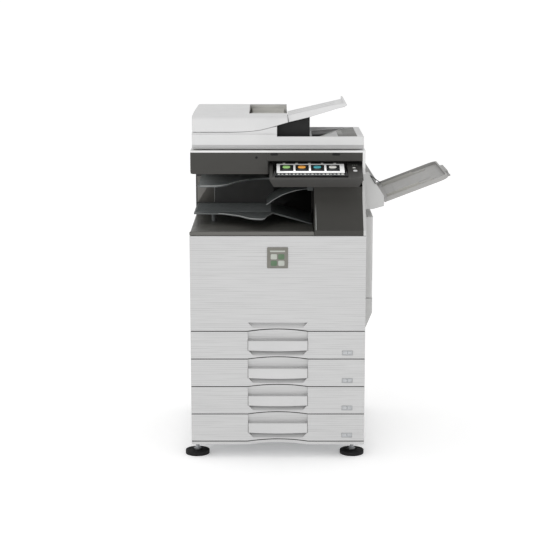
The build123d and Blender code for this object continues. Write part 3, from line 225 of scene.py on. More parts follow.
def foam(name, colour):
    paint = Paint(name, colour, 0.7, specular=0.2)
    paint.tint(paint.noise(260, 4.0), 0.94, 1.03)
    paint.bump(paint.noise(1500, 3.0), 0.4, 0.00012)
    return paint.material


PANEL = ribbed_panel("front_panel", srgb(195, 195, 195))
LIGHT = moulded("light_cover", srgb(195, 195, 194))
FEEDER = moulded("feeder_cover", srgb(212, 212, 212), roughness=0.38)
RIM = moulded("scanner_rim", srgb(226, 226, 225), roughness=0.36)
BYPASS = moulded("bypass_tray", srgb(162, 161, 159), roughness=0.5)
GUIDE = moulded("document_guides", srgb(190, 189, 184), roughness=0.5)
DARK = moulded("dark_cover", srgb(61, 60, 57), roughness=0.42, specular=0.3, spread=0.05)
# dark grey plastic, made darker still as painted shade of the deep output bay
BAY_WALL_AND_SHADE = moulded("bay_wall_with_painted_shade", srgb(34, 34, 33), roughness=0.5, spread=0.05)
BAY_COLUMN = moulded("bay_column", srgb(112, 110, 106), roughness=0.4, spread=0.05)
BAY_FLOOR = moulded("bay_floor", srgb(94, 93, 89), roughness=0.4, spread=0.05)
PANEL_GREY = moulded("operation_panel", srgb(62, 61, 59), roughness=0.4, spread=0.05)
TRAY_GREY = moulded("output_trays", srgb(92, 96, 96), roughness=0.4, spread=0.06)
# near black: the tray support's own colour, and painted shade on the exit basin's floor
BLOCK_AND_BASIN_SHADE = moulded("exit_block_and_basin_painted_shade", srgb(17, 18, 18), roughness=0.5, specular=0.35)
BLACK = moulded("black_plastic", srgb(28, 28, 28), roughness=0.45, spread=0.1)
PAN = moulded("tray_pans", srgb(150, 150, 152), roughness=0.5)
KEY = moulded("key_cap", srgb(235, 235, 235), roughness=0.25)
SCREEN = glass("screen_glass", srgb(10, 10, 11), 1.0)
PLATEN = glass("platen_glass", srgb(190, 210, 205), 0.35)
FOAM = foam("platen_foam", srgb(238, 238, 236))
BADGE = metal("badge_plate", srgb(128, 127, 121), 0.42, stretch=(1, 1, 12), scale=300)
STEEL = metal("zinc_plate", srgb(176, 178, 180), 0.38)
CHROME = metal("polished_rod", srgb(205, 206, 208), 0.16, stretch=(0.05, 1, 1))
RUBBER = rubber("rubber", srgb(15, 15, 16))
BELT = rubber("transfer_film", srgb(30, 30, 33), 0.35)
DRUM = moulded("drum_coating", srgb(58, 110, 100), roughness=0.15)

NODE_LOOKS = {
    "base_skirt": (PANEL, 0.8), "front_cover": (PANEL, 1.6), "front_badge": (BADGE, 0.3),
    "left_cover": (LIGHT, 1.0), "right_cover": (LIGHT, 1.6), "rear_cover": (LIGHT, 0),
    "right_door": (LIGHT, 1.2), "lower_right_door": (LIGHT, 1.2),
    "bypass_housing": (LIGHT, 1.2), "bypass_tray": (BYPASS, 0.8),
    "bypass_extension": (BYPASS, 0.6), "scanner_case": (RIM, 1.6), "adf_base": (FEEDER, 1.6),
    "feeder_cover": (FEEDER, 2.2), "document_tray": (FEEDER, 1.6),
    "document_guide_front": (GUIDE, 0.5), "document_guide_rear": (GUIDE, 0.5),
    "tray_support": (BLOCK_AND_BASIN_SHADE, 1.0), "scanner_fascia": (DARK, 1.0), "output_floor": (BAY_FLOOR, 4.0),
    "bay_rear_wall": (BAY_WALL_AND_SHADE, 0.8), "right_pillar": (DARK, 1.6), "output_tray": (TRAY_GREY, 0.5),
    "separator_tray": (TRAY_GREY, 0.8), "exit_flap": (TRAY_GREY, 0.4),
    "flap_lugs": (TRAY_GREY, 0.4), "panel_housing": (PANEL_GREY, 1.4),
    "touch_screen": (SCREEN, 0.3), "home_key": (KEY, 0.5), "platen_glass": (PLATEN, 0.2),
    "scan_carriage": (BLACK, 0.6), "power_inlet": (BLACK, 0.3), "platen_pad": (FOAM, 0.6),
    "rubber_feet": (RUBBER, 1.0), "levelling_bolts": (STEEL, 0.3), "base_plate": (STEEL, 0.5),
    "side_frame_plates": (STEEL, 0.3), "rear_frame_plate": (STEEL, 0.3),
    "engine_shelf": (STEEL, 0.3), "hinge_brackets": (STEEL, 0.3), "scan_rails": (CHROME, 0),
    "tray_runners": (DARK, 0.4), "toner_cartridges": (BLACK, 1.5), "drum_units": (DRUM, 0),
    "transfer_belt": (BELT, 0), "fuser_unit": (BLACK, 1.0), "exit_roller": (RUBBER, 0.3),
    "adf_roller": (RUBBER, 0.3),
}
for number in range(1, 5):
    NODE_LOOKS[f"tray_front_{number}"] = (PANEL, 1.0)
    NODE_LOOKS[f"tray_pan_{number}"] = (PAN, 0.5)
    NODE_LOOKS[f"lift_plate_{number}"] = (STEEL, 0.3)


def round_edges(obj, width_mm, angle=32):
    """Welds the mesh's seams, rounds its sharp edges and shades it smoothly."""
    weld = obj.modifiers.new("weld", "WELD")
    weld.merge_threshold = 0.00001
    if width_mm:
        bevel = obj.modifiers.new("rounding", "BEVEL")
        bevel.width = width_mm * MM
        bevel.segments = 2
        bevel.limit_method = "ANGLE"
        bevel.angle_limit = math.radians(angle)
        bevel.harden_normals = True
        bevel.use_clamp_overlap = True
    obj.data.shade_smooth()


for name, obj in nodes.items():
    look, width = NODE_LOOKS[name]
    obj.data.materials.clear()
    obj.data.materials.append(look)
    if "custom_normal" in obj.data.attributes:
        obj.data.attributes.remove(obj.data.attributes["custom_normal"])
    round_edges(obj, width)
    if name == "rear_cover":             # flat, with many small slots: smoothing would streak it
        obj.data.shade_flat()

# ======================= fine pieces ====================================================
X_AXIS, Y_AXIS, Z_AXIS = Vector((1, 0, 0)), Vector((0, 1, 0)), Vector((0, 0, 1))


class Face:
    """A flat side of the machine: right and up along it, out away from it, in millimetres."""

    def __init__(self, origin, right, up):
        self.origin, self.right, self.up = origin, right.normalized(), up.normalized()
        self.out = self.right.cross(self.up)

    def at(self, u, v, h=0.0):
        return self.origin + (u * self.right + v * self.up + h * self.out) * MM


PANEL_TILT = math.atan2(36, 151)         # rise and run of the operation panel's face
BYPASS_TILT = math.radians(21)
DEPTH = (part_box("rear_cover")[1].y - FRONT_Y) / MM
WIDE = HALF_W / MM
FRONT = Face(at(0, 0, 0), X_AXIS, Z_AXIS)
FASCIA = Face(at(0, (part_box("scanner_fascia")[0].y - FRONT_Y) / MM, 0), X_AXIS, Z_AXIS)
REAR = Face(at(0, DEPTH, 0), -X_AXIS, Z_AXIS)
LEFT = Face(at(-WIDE, 0, 0), -Y_AXIS, Z_AXIS)
RIGHT = Face(at(WIDE, 0, 0), Y_AXIS, Z_AXIS)
DOOR = Face(Vector((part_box("right_door")[1].x, FRONT_Y, 0)), Y_AXIS, Z_AXIS)
FLOOR = Face(at(0, 0, 0), X_AXIS, Y_AXIS)
PANEL_FACE = Face(at(0, -8, 968), X_AXIS, Vector((0, math.cos(PANEL_TILT), math.sin(PANEL_TILT))))
BYPASS_FACE = Face(at(352, 0, 866),
                   Vector((math.cos(BYPASS_TILT), 0, math.sin(BYPASS_TILT))), Y_AXIS)


def rounded(u, v, radius, steps=4):
    """A rectangle between two (low, high) ranges with round corners, anticlockwise."""
    points = []
    corners = ((u[1], v[0], -90), (u[1], v[1], 0), (u[0], v[1], 90), (u[0], v[0], 180))
    for cu, cv, start in corners:
        cu -= math.copysign(radius, cu - sum(u) / 2)
        cv -= math.copysign(radius, cv - sum(v) / 2)
        for step in range(steps + 1):
            angle = math.radians(start + 90 * step / steps)
            points.append((cu + radius * math.cos(angle), cv + radius * math.sin(angle)))
    return points


def loft(bm, loops, close=True):
    """Joins rings of points into a skin, with its two ends filled."""
    rings = [[bm.verts.new(p) for p in loop] for loop in loops]
    for a, b in zip(rings, rings[1:]):
        for i in range(len(a)):
            j = (i + 1) % len(a)
            bm.faces.new((a[i], a[j], b[j], b[i]))
    if close:
        bm.faces.new(rings[0][::-1])
        bm.faces.new(rings[-1])


def plate(bm, face, outline, low, high, shrink=0.0):
    """A thin plate standing on a face, its top a little smaller when shrink is given."""
    cu = sum(u for u, v in outline) / len(outline)
    cv = sum(v for u, v in outline) / len(outline)
    loft(bm, [[face.at(u, v, low) for u, v in outline],
              [face.at(u, v, high - shrink) for u, v in outline],
              [face.at(u - math.copysign(min(shrink, abs(u - cu)), u - cu),
                       v - math.copysign(min(shrink, abs(v - cv)), v - cv), high)
               for u, v in outline]])


def turned(bm, face, centre, profile, sides=28):
    """A body of revolution from (radius, height) points, standing on a face."""
    rings = []
    for radius, height in profile:
        rings.append([face.at(centre[0] + radius * math.cos(2 * math.pi * k / sides),
                              centre[1] + radius * math.sin(2 * math.pi * k / sides), height)
                      for k in range(sides)])
    loft(bm, rings)


def tube(bm, points, radius, sides=10):
    """A round wire through points given in metres."""
    rings = []
    for i, point in enumerate(points):
        along = (points[min(i + 1, len(points) - 1)] - points[max(i - 1, 0)]).normalized()
        across = along.cross(Z_AXIS if abs(along.z) < 0.9 else X_AXIS).normalized()
        other = along.cross(across)
        rings.append([point + radius * MM * (math.cos(a) * across + math.sin(a) * other)
                      for a in (2 * math.pi * k / sides for k in range(sides))])
    loft(bm, rings)


def piece(name, draw, paint, body, bevel=0.0):
    """A new piece from a drawing function, riding on a body and finished with one paint."""
    bm = bmesh.new()
    draw(bm)
    bmesh.ops.recalc_face_normals(bm, faces=bm.faces)
    mesh = bpy.data.meshes.new(name)
    bm.to_mesh(mesh)
    bm.free()
    mesh.materials.append(paint)
    obj = bpy.data.objects.new(name, mesh)
    bpy.context.scene.collection.objects.link(obj)
    round_edges(obj, bevel)
    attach(obj, body)
    return obj


WHITE_LIT = lit("display_white", srgb(250, 250, 250), 0.35)
TILE = lit("display_tile", srgb(50, 52, 52), 0.05)
BAR = lit("display_bar", srgb(92, 94, 96), 0.10)
GREEN = lit("display_green", srgb(150, 196, 120), 0.35)
ORANGE = lit("display_orange", srgb(226, 160, 72), 0.35)
TEAL = lit("display_teal", srgb(76, 160, 168), 0.35)
SILVER = lit("display_silver", srgb(205, 205, 200), 0.35)
# near black: painted shade in the panel joints, slots, sockets, vents and behind the exit; also
# the sensor window's own dark colour
SHADE_AND_LENS_BLACK = moulded("painted_shade_and_lens_black", srgb(14, 14, 14), roughness=0.8)
SEAM = moulded("seam_shadow", srgb(124, 124, 122), roughness=0.8)
INK = moulded("printed_grey", srgb(132, 134, 136), roughness=0.6)
TAG_RIM = moulded("tag_rim", srgb(164, 165, 166), roughness=0.5)
# light grey glossy tubes along edges: painted highlights
EDGE_HIGHLIGHT = moulded("painted_edge_highlight", srgb(176, 178, 176), roughness=0.25)
BEZEL = moulded("screen_bezel", srgb(9, 9, 10), roughness=0.12)
# greyer than the feeder cover: painted shade of the underband's downward-facing chamfer
UNDERBAND_SHADE = moulded("feeder_underband_painted_shade", srgb(190, 190, 190), roughness=0.4)
BASIN = moulded("exit_basin", srgb(128, 128, 125), roughness=0.4)
LEAF = moulded("badge_green", srgb(86, 112, 84), roughness=0.35)
LEAF_PALE = moulded("badge_pale", srgb(176, 180, 172), roughness=0.35)


def display():
    """The lit page with four round-cornered tiles, on the operation panel's screen."""
    body, slot = "operation_panel", "screen"

    def tablet(name, u, v, radius, low, high, paint, shrink=0.0):
        piece(name, lambda bm: plate(bm, PANEL_FACE, rounded(u, v, radius), low, high, shrink),
              paint, body)
    tablet("display_page", (-4, 223), (46, 131), 2, 0.3, 0.7, WHITE_LIT)
    tablet("display_top_bar", (-4, 223), (131, 145), 1.5, 0.3, 0.65, TILE)
    tablet("display_low_bar", (-4, 223), (22, 46), 1.5, 0.3, 0.65, BAR)
    tablet("bezel_left", (-17, -5), (18, 146), 3, -0.1, 0.55, BEZEL, 0.2)
    tablet("bezel_right", (224, 233), (18, 146), 3, -0.1, 0.55, BEZEL, 0.2)

    def signs(bm):
        for k in range(18):
            u = k * 12.4
            size = 3 + 3 * rng.random()
            outline = rounded((u, u + size * 1.6), (34 - size, 34 + size), 0.8)
            plate(bm, PANEL_FACE, outline, 0.6, 0.8)
        for k in range(5):
            u = 16 + k * 43
            plate(bm, PANEL_FACE, rounded((u, u + 9), (134, 140), 1), 0.6, 0.8)
    piece("display_small_signs", signs, SILVER, body)
    for k, colour in enumerate((GREEN, ORANGE, TEAL, SILVER)):
        u = 7 + k * 52
        tablet(f"display_tile_{k + 1}", (u, u + 45), (62, 121), 3, 0.6, 0.9, TILE)
        tablet(f"display_icon_{k + 1}", (u + 9, u + 34), (88, 113), 9, 0.8, 1.2, colour, 0.2)


def frame_strip(bm, outer, inner, low, high):
    """A raised border on the front, open at its back, between two outlines."""
    loft(bm, [[FRONT.at(a, b, h) for a, b in outline]
              for outline, h in ((outer, low), (outer, high), (inner, high), (inner, low))],
         close=False)


def badge():
    """A plain metal badge with a raised rim and four enamelled squares."""
    u, v = (-36, 34), (663, 734)
    top = (FRONT_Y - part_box("front_badge")[0].y) / MM

    def rim(bm):
        outer = rounded(u, v, 3)
        inner = rounded((u[0] + 3, u[1] - 3), (v[0] + 3, v[1] - 3), 2)
        frame_strip(bm, outer, inner, top - 0.2, top + 0.5)
    piece("badge_rim", rim, BADGE, "front_cover", 0.15)

    def bar(bm):
        plate(bm, FRONT, rounded((-26, 24), (718, 723), 1.5), top - 0.1, top + 0.35, 0.1)
    piece("badge_bar", bar, LEAF_PALE, "front_cover")
    for k, paint in enumerate((LEAF, LEAF_PALE, LEAF_PALE, LEAF)):
        cu, cv = -24 + 25 * (k % 2), 671 + 22 * (k // 2)
        piece(f"badge_square_{k + 1}",
              lambda bm: plate(bm, FRONT, rounded((cu, cu + 21), (cv, cv + 18), 4), top - 0.1,
                               top + 0.4, 0.15), paint, "front_cover")


TRAY_FACE = 93.5             # visible height of a tray's front
ARCH_HALF = 103.0            # half the width of the arch in each joint between panels
ARCH_RISE = 8.0
JOINT_STEPS = 40             # stations of a joint strip, each side of the middle
JOINT_STEP = 7.35
TAG_U = (219, 252)           # across the numbered tag's plate


def joint_strip(bm, low, height):
    """A dark strip of painted shade that follows the arched joint between two front panels, set
    back in it.
    """
    rings = []
    for k in range(-JOINT_STEPS, JOINT_STEPS + 1):
        x = k * JOINT_STEP
        rise = ARCH_RISE * (1 - (x / ARCH_HALF) ** 2) if abs(x) < ARCH_HALF else 0.0
        rings.append([at(x, d, low + rise + z) for d, z in
                      ((0.35, -0.2), (0.35, height), (2.7, height), (2.7, -0.2))])
    loft(bm, rings)


def tray_details(number):
    """Handle bar, its end gaps as plates of painted shade, the painted shade in its joints and the
    numbered tag of one paper tray.
    """
    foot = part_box(f"tray_front_{number}")[0].z / MM
    top = foot + TRAY_FACE
    body, slot = f"tray_{number}", "front_panels"

    def bar(bm):
        profile = [(top - 64.4, 0.0), (top - 64.8, 0.9), (top - 63.6, 1.9), (top - 58, 2.3),
                   (top - 46, 2.0), (top - 36, 1.2), (top - 33, 0.5), (top - 32.4, 0.0)]
        half = 100.2
        stations = [-half] + [half * (k / 8 - 1) for k in range(1, 16)] + [half]
        rings = []
        for x in stations:
            sag = 3.0 * (1 - (x / half) ** 2)
            ring = [FRONT.at(x, z - sag * max(0.0, (top - 46 - z) / 18.8), h) for z, h in profile]
            ring += [FRONT.at(x, top - 33, -2.0), FRONT.at(x, top - 64, -2.0)]
            rings.append(ring)
        loft(bm, rings)
    piece(f"tray_handle_{number}", bar, HANDLE, body, 0.35)

    def gaps(bm):
        for side in (-1, 1):
            u = sorted((side * 100.4, side * 102.2))
            plate(bm, FRONT, rounded(u, (top - 66, top - 31), 0.4), -0.5, 0.25)
    piece(f"tray_handle_gap_{number}", gaps, SEAM, body)

    piece(f"joint_shadow_{number}", lambda bm: joint_strip(bm, foot - 2.7, 2.9),
          SHADE_AND_LENS_BLACK, body)
    if number == 1:
        piece("joint_shadow_0", lambda bm: joint_strip(bm, top, 1.7), SHADE_AND_LENS_BLACK, body)

    def tag(bm):
        outer = rounded((TAG_U[0] - 2, TAG_U[1] + 2), (top - 82, top - 65), 1.5)
        inner = rounded(TAG_U, (top - 80, top - 67), 1.0)
        frame_strip(bm, outer, inner, -0.2, 0.5)
    piece(f"tray_tag_rim_{number}", tag, TAG_RIM, body)
    piece(f"tray_tag_{number}",
          lambda bm: plate(bm, FRONT, rounded(TAG_U, (top - 80, top - 67), 1), -0.2, 0.3),
          TAG_WHITE, body)
    figure = bpy.data.curves.new(f"tray_figure_{number}", "FONT")
    figure.body = str(number)
    figure.size = 0.0135
    figure.extrude = 0.00012
    figure.align_x = "CENTER"
    figure.align_y = "CENTER"
    figure.materials.append(INK)
    label = bpy.data.objects.new(f"tray_figure_{number}", figure)
    label.location = FRONT.at(sum(TAG_U) / 2, top - 73.5, 0.38)
    label.rotation_euler = (math.radians(90), 0, 0)
    bpy.context.scene.collection.objects.link(label)
    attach(label, body)


HANDLE = moulded("handle_bar", srgb(200, 200, 200), roughness=0.38)
TAG_WHITE = moulded("tag_plate", srgb(190, 192, 194), roughness=0.4)


def fascia_details():
    """A sensor window, two slots drawn as dark plates of painted shade, and the small marks of the
    operation panel.
    """
    dome = [(4.2, -0.3), (4.2, 0.5), (3.4, 0.9), (2.8, 0.5), (0.5, 0.7)]
    piece("sensor_window", lambda bm: turned(bm, FASCIA, (-72, 1023), dome),
          SHADE_AND_LENS_BLACK, "root")
    for name, u in (("fascia_slot_left", -12), ("fascia_slot_right", 196)):
        piece(name, lambda bm: plate(bm, FASCIA, rounded((u - 13, u + 13), (1030, 1038), 3.9, 6),
                                     -0.3, 0.6, 0.3), SHADE_AND_LENS_BLACK, "root")
    lamp = rounded((251, 261), (92, 99), 2)
    piece("panel_lamp", lambda bm: plate(bm, PANEL_FACE, lamp, -0.2, 0.5, 0.2),
          SILVER, "operation_panel")

    def ticks(bm):
        for k in range(3):
            plate(bm, PANEL_FACE, rounded((250 + 7 * k, 254 + 7 * k), (120, 123), 0.8), -0.2, 0.25)
    piece("panel_ticks", ticks, LEAF_PALE, "operation_panel")


def platen():
    """The white backing pad: a soft crowned sheet with a stitched-looking heat-set edge."""
    low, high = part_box("platen_pad")
    face = Face(Vector((0, 0, 0)), X_AXIS, Y_AXIS)
    u = (low.x / MM, high.x / MM)
    v = (low.y / MM, high.y / MM)
    base, top = low.z / MM, high.z / MM

    def draw(bm):
        levels = ((1.6, top), (0.2, top - 0.4), (0.0, (base + top) / 2), (0.4, base + 0.9),
                  (3.0, base + 0.55), (5.0, base + 0.75), (8.0, base + 0.3), (14.0, base + 0.05))
        loops = []
        for inset, h in levels:
            ring = rounded((u[0] + inset, u[1] - inset), (v[0] + inset, v[1] - inset), 8, 6)
            loops.append([face.at(a, b, h) for a, b in ring])
        loft(bm, loops)
    pad = piece("platen_pad_soft", draw, FOAM, "document_feeder")
    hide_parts("platen_pad")


def feeder_details():
    """The feed inlet's lining, its pick-up slot as a dark plate of painted shade, and the ribs of
    the document and exit trays.
    """
    def lining(bm):
        plate(bm, FLOOR, rounded((-97.6, 31), (171.6, 410.4), 1.2), 1146.9, 1147.2)
        wall = ((172, 1147), (172, 1160), (410, 1173), (410, 1147))
        loft(bm, [[FLOOR.at(x, d, z) for d, z in wall] for x in (-97.9, -97.4)])
        wall = ((-97.6, 1147), (31, 1147), (31, 1174), (-97.6, 1174))
        loft(bm, [[FLOOR.at(x, d, z) for x, z in wall] for d in (410.9, 410.3)])
    piece("inlet_lining", lining, GUIDE, "feeder_cover")

    piece("pickup_slot", lambda bm: loft(bm, [
        [FLOOR.at(x, d, z) for d, z in ((246, 1150), (246, 1160), (336, 1160), (336, 1150))]
        for x in (-97.5, -96.9)]),
          SHADE_AND_LENS_BLACK, "feeder_cover")

    def ribs(bm, section, count, first, pitch, width):
        for k in range(count):
            d = first + k * pitch
            loft(bm, [[FLOOR.at(x, d + w, z) for x, z in section] for w in (0, width)])

    def tray_ribs(bm):
        ribs(bm, ((40, 1151.6), (198, 1188.5), (198, 1189.9), (40, 1153.2)), 5, 150, 60, 3)
    piece("document_tray_ribs", tray_ribs, FEEDER, "document_feeder", 0.4)

    def basin_ribs(bm):
        ribs(bm, ((222, 1088.1), (268, 1092), (268, 1093.2), (222, 1089.3)), 9, 140, 35, 2.5)
    piece("exit_basin_ribs", basin_ribs, BASIN, "document_feeder", 0.3)

    # a near-black sheet on the basin floor: painted shade under the document tray
    def basin_shade(bm):
        outline = ((110, 126), (126, 158), (236, 428), (120, 428))
        loft(bm, [[FLOOR.at(x, d, basin_height(x) + h) for x, d in outline] for h in (0.5, 0.9)])
    piece("exit_basin_shade", basin_shade, BLOCK_AND_BASIN_SHADE, "document_feeder")

    def basin_liner(bm):
        outline = ((110, 116), (268, 116), (268, 432), (110, 432))
        loft(bm, [[FLOOR.at(x, d, basin_height(x) + h) for x, d in outline] for h in (-0.2, 0.5)])
    piece("exit_basin_liner", basin_liner, BASIN, "document_feeder")
    # a bright tube along the basin's diagonal step: painted highlight
    step = [(126, 158), (163, 248), (200, 338), (236, 426)]
    edge = [at(x, d, basin_height(x) + 1.6) for x, d in step]
    piece("exit_basin_step_highlight", lambda bm: tube(bm, edge, 1.5),
          EDGE_HIGHLIGHT, "document_feeder")

    # the greyer band under the feeder's front: painted shade
    def band(bm):
        section = ((99.7, 1065), (112.6, 1050.4), (113.2, 1050.6), (100.3, 1065.3))
        loft(bm, [[at(x, d, z) for d, z in section] for x in (-288, 288)])
    piece("feeder_underband_painted_shade", band, UNDERBAND_SHADE, "document_feeder", 0.2)


def basin_height(x):
    """Height of the exit basin's sloping floor, in millimetres."""
    return 1079.4 + (x - 122) * 12.4 / 146


def front_edge(node, level, low_x, high_x, behind):
    """Points along a tray's front edge at a level, from left to right, read from its mesh."""
    best = {}
    for vertex in nodes[node].data.vertices:
        place = nodes[node].matrix_world @ vertex.co
        x = (place.x - CENTRE_X) / MM
        d = (place.y - FRONT_Y) / MM
        if abs(place.z / MM - level) < 0.2 and low_x <= x <= high_x and d < behind:
            key = round(x)
            if key not in best or d < best[key][1]:
                best[key] = (x, d)
    return [best[key] for key in sorted(best)]


def bay_details():
    """Painted highlights along the edges of the output trays, the flap, the pillar and the column,
    the column's face, and painted shade behind the exit and on the pillar's left face.
    """
    # the bright tubes along the tray, flap, pillar and column edges are painted highlights
    for name, node, level, span, behind, drop in (
            ("output_tray_edge_highlight", "output_tray", 820, (-289, -17.5), 210, 1.0),
            ("separator_edge_highlight", "separator_tray", 925, (-270, -100), 300, 1.0)):
        points = [at(x, d - 0.2, level - drop) for x, d in front_edge(node, level, *span, behind)]
        piece(name, lambda bm: tube(bm, points, 1.1), EDGE_HIGHLIGHT, "root")
    ramp = [at(-17, 205.6, 819.6), at(50, 205.6, 801.3), at(117, 205.6, 783.0)]
    piece("ramp_edge", lambda bm: tube(bm, ramp, 0.9), TRAY_GREY, "root")
    arc = [(-39.5, 846.5), (-20, 860.8), (0, 873.2), (18.8, 882.6), (42, 891), (62, 896.4),
           (84, 900.2)]
    piece("flap_edge_highlight", lambda bm: tube(bm, [at(x, 207.4, z) for x, z in arc], 0.9), EDGE_HIGHLIGHT,
          "exit_flap")
    edge = [at(127.5, -0.6, 792), at(127.5, 43, 837.4), at(127.5, 86, 882)]
    piece("pillar_edge_highlight", lambda bm: tube(bm, edge, 0.9), EDGE_HIGHLIGHT, "root")

    def column(bm):
        for z in ((780, 812), (822, 917), (927, 965)):
            outline = rounded((-290, -229), z, 2)
            loft(bm, [[at(x, d, h) for x, h in outline] for d in (437.1, 436.4)])
    piece("column_face", column, BAY_COLUMN, "root")
    corner = [at(-227.5, 436.4, z) for z in (823, 870, 916)]
    piece("column_edge_highlight", lambda bm: tube(bm, corner, 0.9), EDGE_HIGHLIGHT, "root")

    # a near-black sheet on the bay's back wall behind the exit: painted shade
    def exit_dark(bm):
        outline = rounded((-15, 121), (784, 890), 4)
        loft(bm, [[at(x, d, h) for x, h in outline] for d in (438.9, 438.4)])
    piece("exit_painted_shade_face", exit_dark, SHADE_AND_LENS_BLACK, "root")

    # a near-black sheet on the pillar's left face: painted shade
    def pillar_dark(bm):
        loft(bm, [[at(x, d, h) for d, h in ((96, 800), (120, 800), (120, 915), (100, 915))]
                  for x in (121.95, 121.5)])
    piece("pillar_painted_shade_face", pillar_dark, SHADE_AND_LENS_BLACK, "root")


def bypass_details():
    """The bypass tray's width guides and inner panel, and the two wire stays."""
    body, slot = "bypass_tray", "bypass_grey"

    def inner(bm):
        plate(bm, BYPASS_FACE, rounded((30, 214), (250, 490), 10), -6.2, -4.8, 0.4)
        plate(bm, BYPASS_FACE, rounded((60, 196), (290, 450), 8), -4.9, -3.9, 0.4)
    piece("bypass_inner_panel", inner, BYPASS, body, 0.3)
    for name, d, lip in (("bypass_guide_front", (196, 236), (232, 236)),
                         ("bypass_guide_rear", (504, 544), (504, 508))):
        def guide(bm):
            plate(bm, BYPASS_FACE, rounded((26, 150), d, 4), -6.1, -4.2, 0.3)
            plate(bm, BYPASS_FACE, rounded((28, 148), lip, 1.6), -4.4, 4.6, 0.6)
            tail = rounded((148, 196), (lip[0] + 0.6, lip[1] - 0.6), 1.2)
            plate(bm, BYPASS_FACE, tail, -6.1, -1.5, 0.4)
        piece(name, guide, GUIDE, body, 0.3)

    def wires(bm):
        root = at(315, 146, 956)
        for tip in (at(333, 146, 927), at(350, 146, 931.5)):
            tube(bm, [root.lerp(tip, k / 6) for k in range(7)], 1.4)
    piece("bypass_wires", wires, BLACK, "root")


def screw(bm, face, u, v, radius=3.4):
    turned(bm, face, (u, v), [(radius, -0.3), (radius, 0.7), (radius * 0.8, 1.2),
                              (radius * 0.42, 1.25), (radius * 0.38, 0.4)], 16)


def back_and_sides():
    """Screws, seams, a blank rating plate, sockets and vents: guesses, as on such machines; the
    seams, sockets and vents are flat plates of painted shade.
    """
    def rear_screws(bm):
        for u in (-282, -95, 95, 282):
            for v in (72, 300, 470, 700, 940):
                screw(bm, REAR, u, v)
    piece("rear_screws", rear_screws, STEEL, "root")

    def rear_seams(bm):
        for v in (285, 520, 760):
            plate(bm, REAR, rounded((-293, 293), (v, v + 1.6), 0.7), -0.3, 0.12)
        for u in (-60, 120):
            plate(bm, REAR, rounded((u, u + 1.6), (520, 760), 0.7), -0.3, 0.12)
    piece("rear_seams", rear_seams, SEAM, "root")
    label = rounded((-60, 20), (110, 160), 3)
    piece("rating_plate", lambda bm: plate(bm, REAR, label, -0.1, 0.4, 0.1),
          TAG_WHITE, "root")

    def ports(bm):
        plate(bm, REAR, rounded((-270, -205), (800, 916), 4), -0.2, 0.9, 0.3)
    piece("port_plate", ports, STEEL, "root")

    def port_holes(bm):
        for k, (w, h) in enumerate(((15, 12), (12, 12), (15, 6), (15, 6), (10, 5))):
            foot = 808 + k * 21
            outline = rounded((-238 - w / 2, -238 + w / 2), (foot, foot + h), 1)
            plate(bm, REAR, outline, 0.7, 1.3, 0.3)
    piece("port_sockets", port_holes, SHADE_AND_LENS_BLACK, "root")

    def left_seams(bm):
        for z in (285, 470):
            plate(bm, LEFT, rounded((-645, -29), (z, z + 1.6), 0.7), -0.3, 0.12)
        plate(bm, LEFT, rounded((-420, -418.4), (470, 768), 0.7), -0.3, 0.12)
    piece("left_seams", left_seams, SEAM, "root")

    def left_grip(bm):
        outer = rounded((-400, -270), (210, 250), 12, 6)
        inner = rounded((-396, -274), (214, 246), 9, 6)
        loft(bm, [[LEFT.at(a, b, 0.0) for a, b in outer], [LEFT.at(a, b, 1.2) for a, b in outer],
                  [LEFT.at(a, b, 1.2) for a, b in inner], [LEFT.at(a, b, 0.15) for a, b in inner]])
    piece("left_grip", left_grip, LIGHT, "root", 0.3)

    def left_vents(bm):
        for k in range(14):
            z = 560 + k * 12
            plate(bm, LEFT, rounded((-600, -460), (z, z + 5), 2.4, 5), -0.2, 0.35, 0.1)
    piece("left_vents", left_vents, SHADE_AND_LENS_BLACK, "root")

    def side_screws(bm):
        for face, sign in ((LEFT, -1), (RIGHT, 1)):
            for d in (60, 330, 625):
                for z in (90, 395):
                    screw(bm, face, sign * d, z)
    piece("side_screws", side_screws, STEEL, "root")

    def right_seams(bm):
        plate(bm, RIGHT, rounded((29, 645), (285, 286.6), 0.7), -0.3, 0.12)
        plate(bm, RIGHT, rounded((100, 560), (96, 97.6), 0.7), -0.3, 0.12)
    piece("right_seams", right_seams, SEAM, "root")

    def door_ribs(bm):
        for z in (545, 798):
            plate(bm, DOOR, rounded((170, 600), (z, z + 2), 0.9), -0.2, 0.5, 0.2)
    piece("door_ribs", door_ribs, LIGHT, "right_door")


PAD_RADIUS = 41.5


def feet_details():
    """Ridged, slightly domed tops on the levelling pads and thread on their bolts."""
    low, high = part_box("rubber_feet")
    for k, (sx, sy) in enumerate(((0, 0), (1, 0), (0, 1), (1, 1))):
        cx = (low.x, high.x)[sx] / MM + (PAD_RADIUS, -PAD_RADIUS)[sx]
        cy = (low.y, high.y)[sy] / MM + (PAD_RADIUS, -PAD_RADIUS)[sy]
        ground = Face(Vector((0, 0, 0)), X_AXIS, Y_AXIS)
        profile = [(38.5, 11.8)]
        for ridge in range(6):
            r = 37.5 - ridge * 3.8
            h = 12.2 + ridge * 0.55
            profile += [(r, h), (r - 0.9, h + 0.9), (r - 2.2, h + 0.9), (r - 2.9, h + 0.2)]
        profile += [(14.8, 15.5), (14.4, 12.0)]
        piece(f"pad_ridges_{k + 1}", lambda bm: turned(bm, ground, (cx, cy), profile, 40), RUBBER,
              "root")
        thread = [(5.9, 20.0)]
        for turn in range(9):
            z = 20.6 + turn * 2.1
            thread += [(5.9, z), (6.7, z + 0.7), (6.7, z + 1.0), (5.9, z + 1.7)]
        thread.append((5.9, 39.9))
        piece(f"bolt_thread_{k + 1}", lambda bm: turned(bm, ground, (cx, cy), thread, 24),
              STEEL, "root")


display()
badge()
for number in range(1, 5):
    tray_details(number)
fascia_details()
platen()
feeder_details()
bay_details()
bypass_details()
back_and_sides()
feet_details()

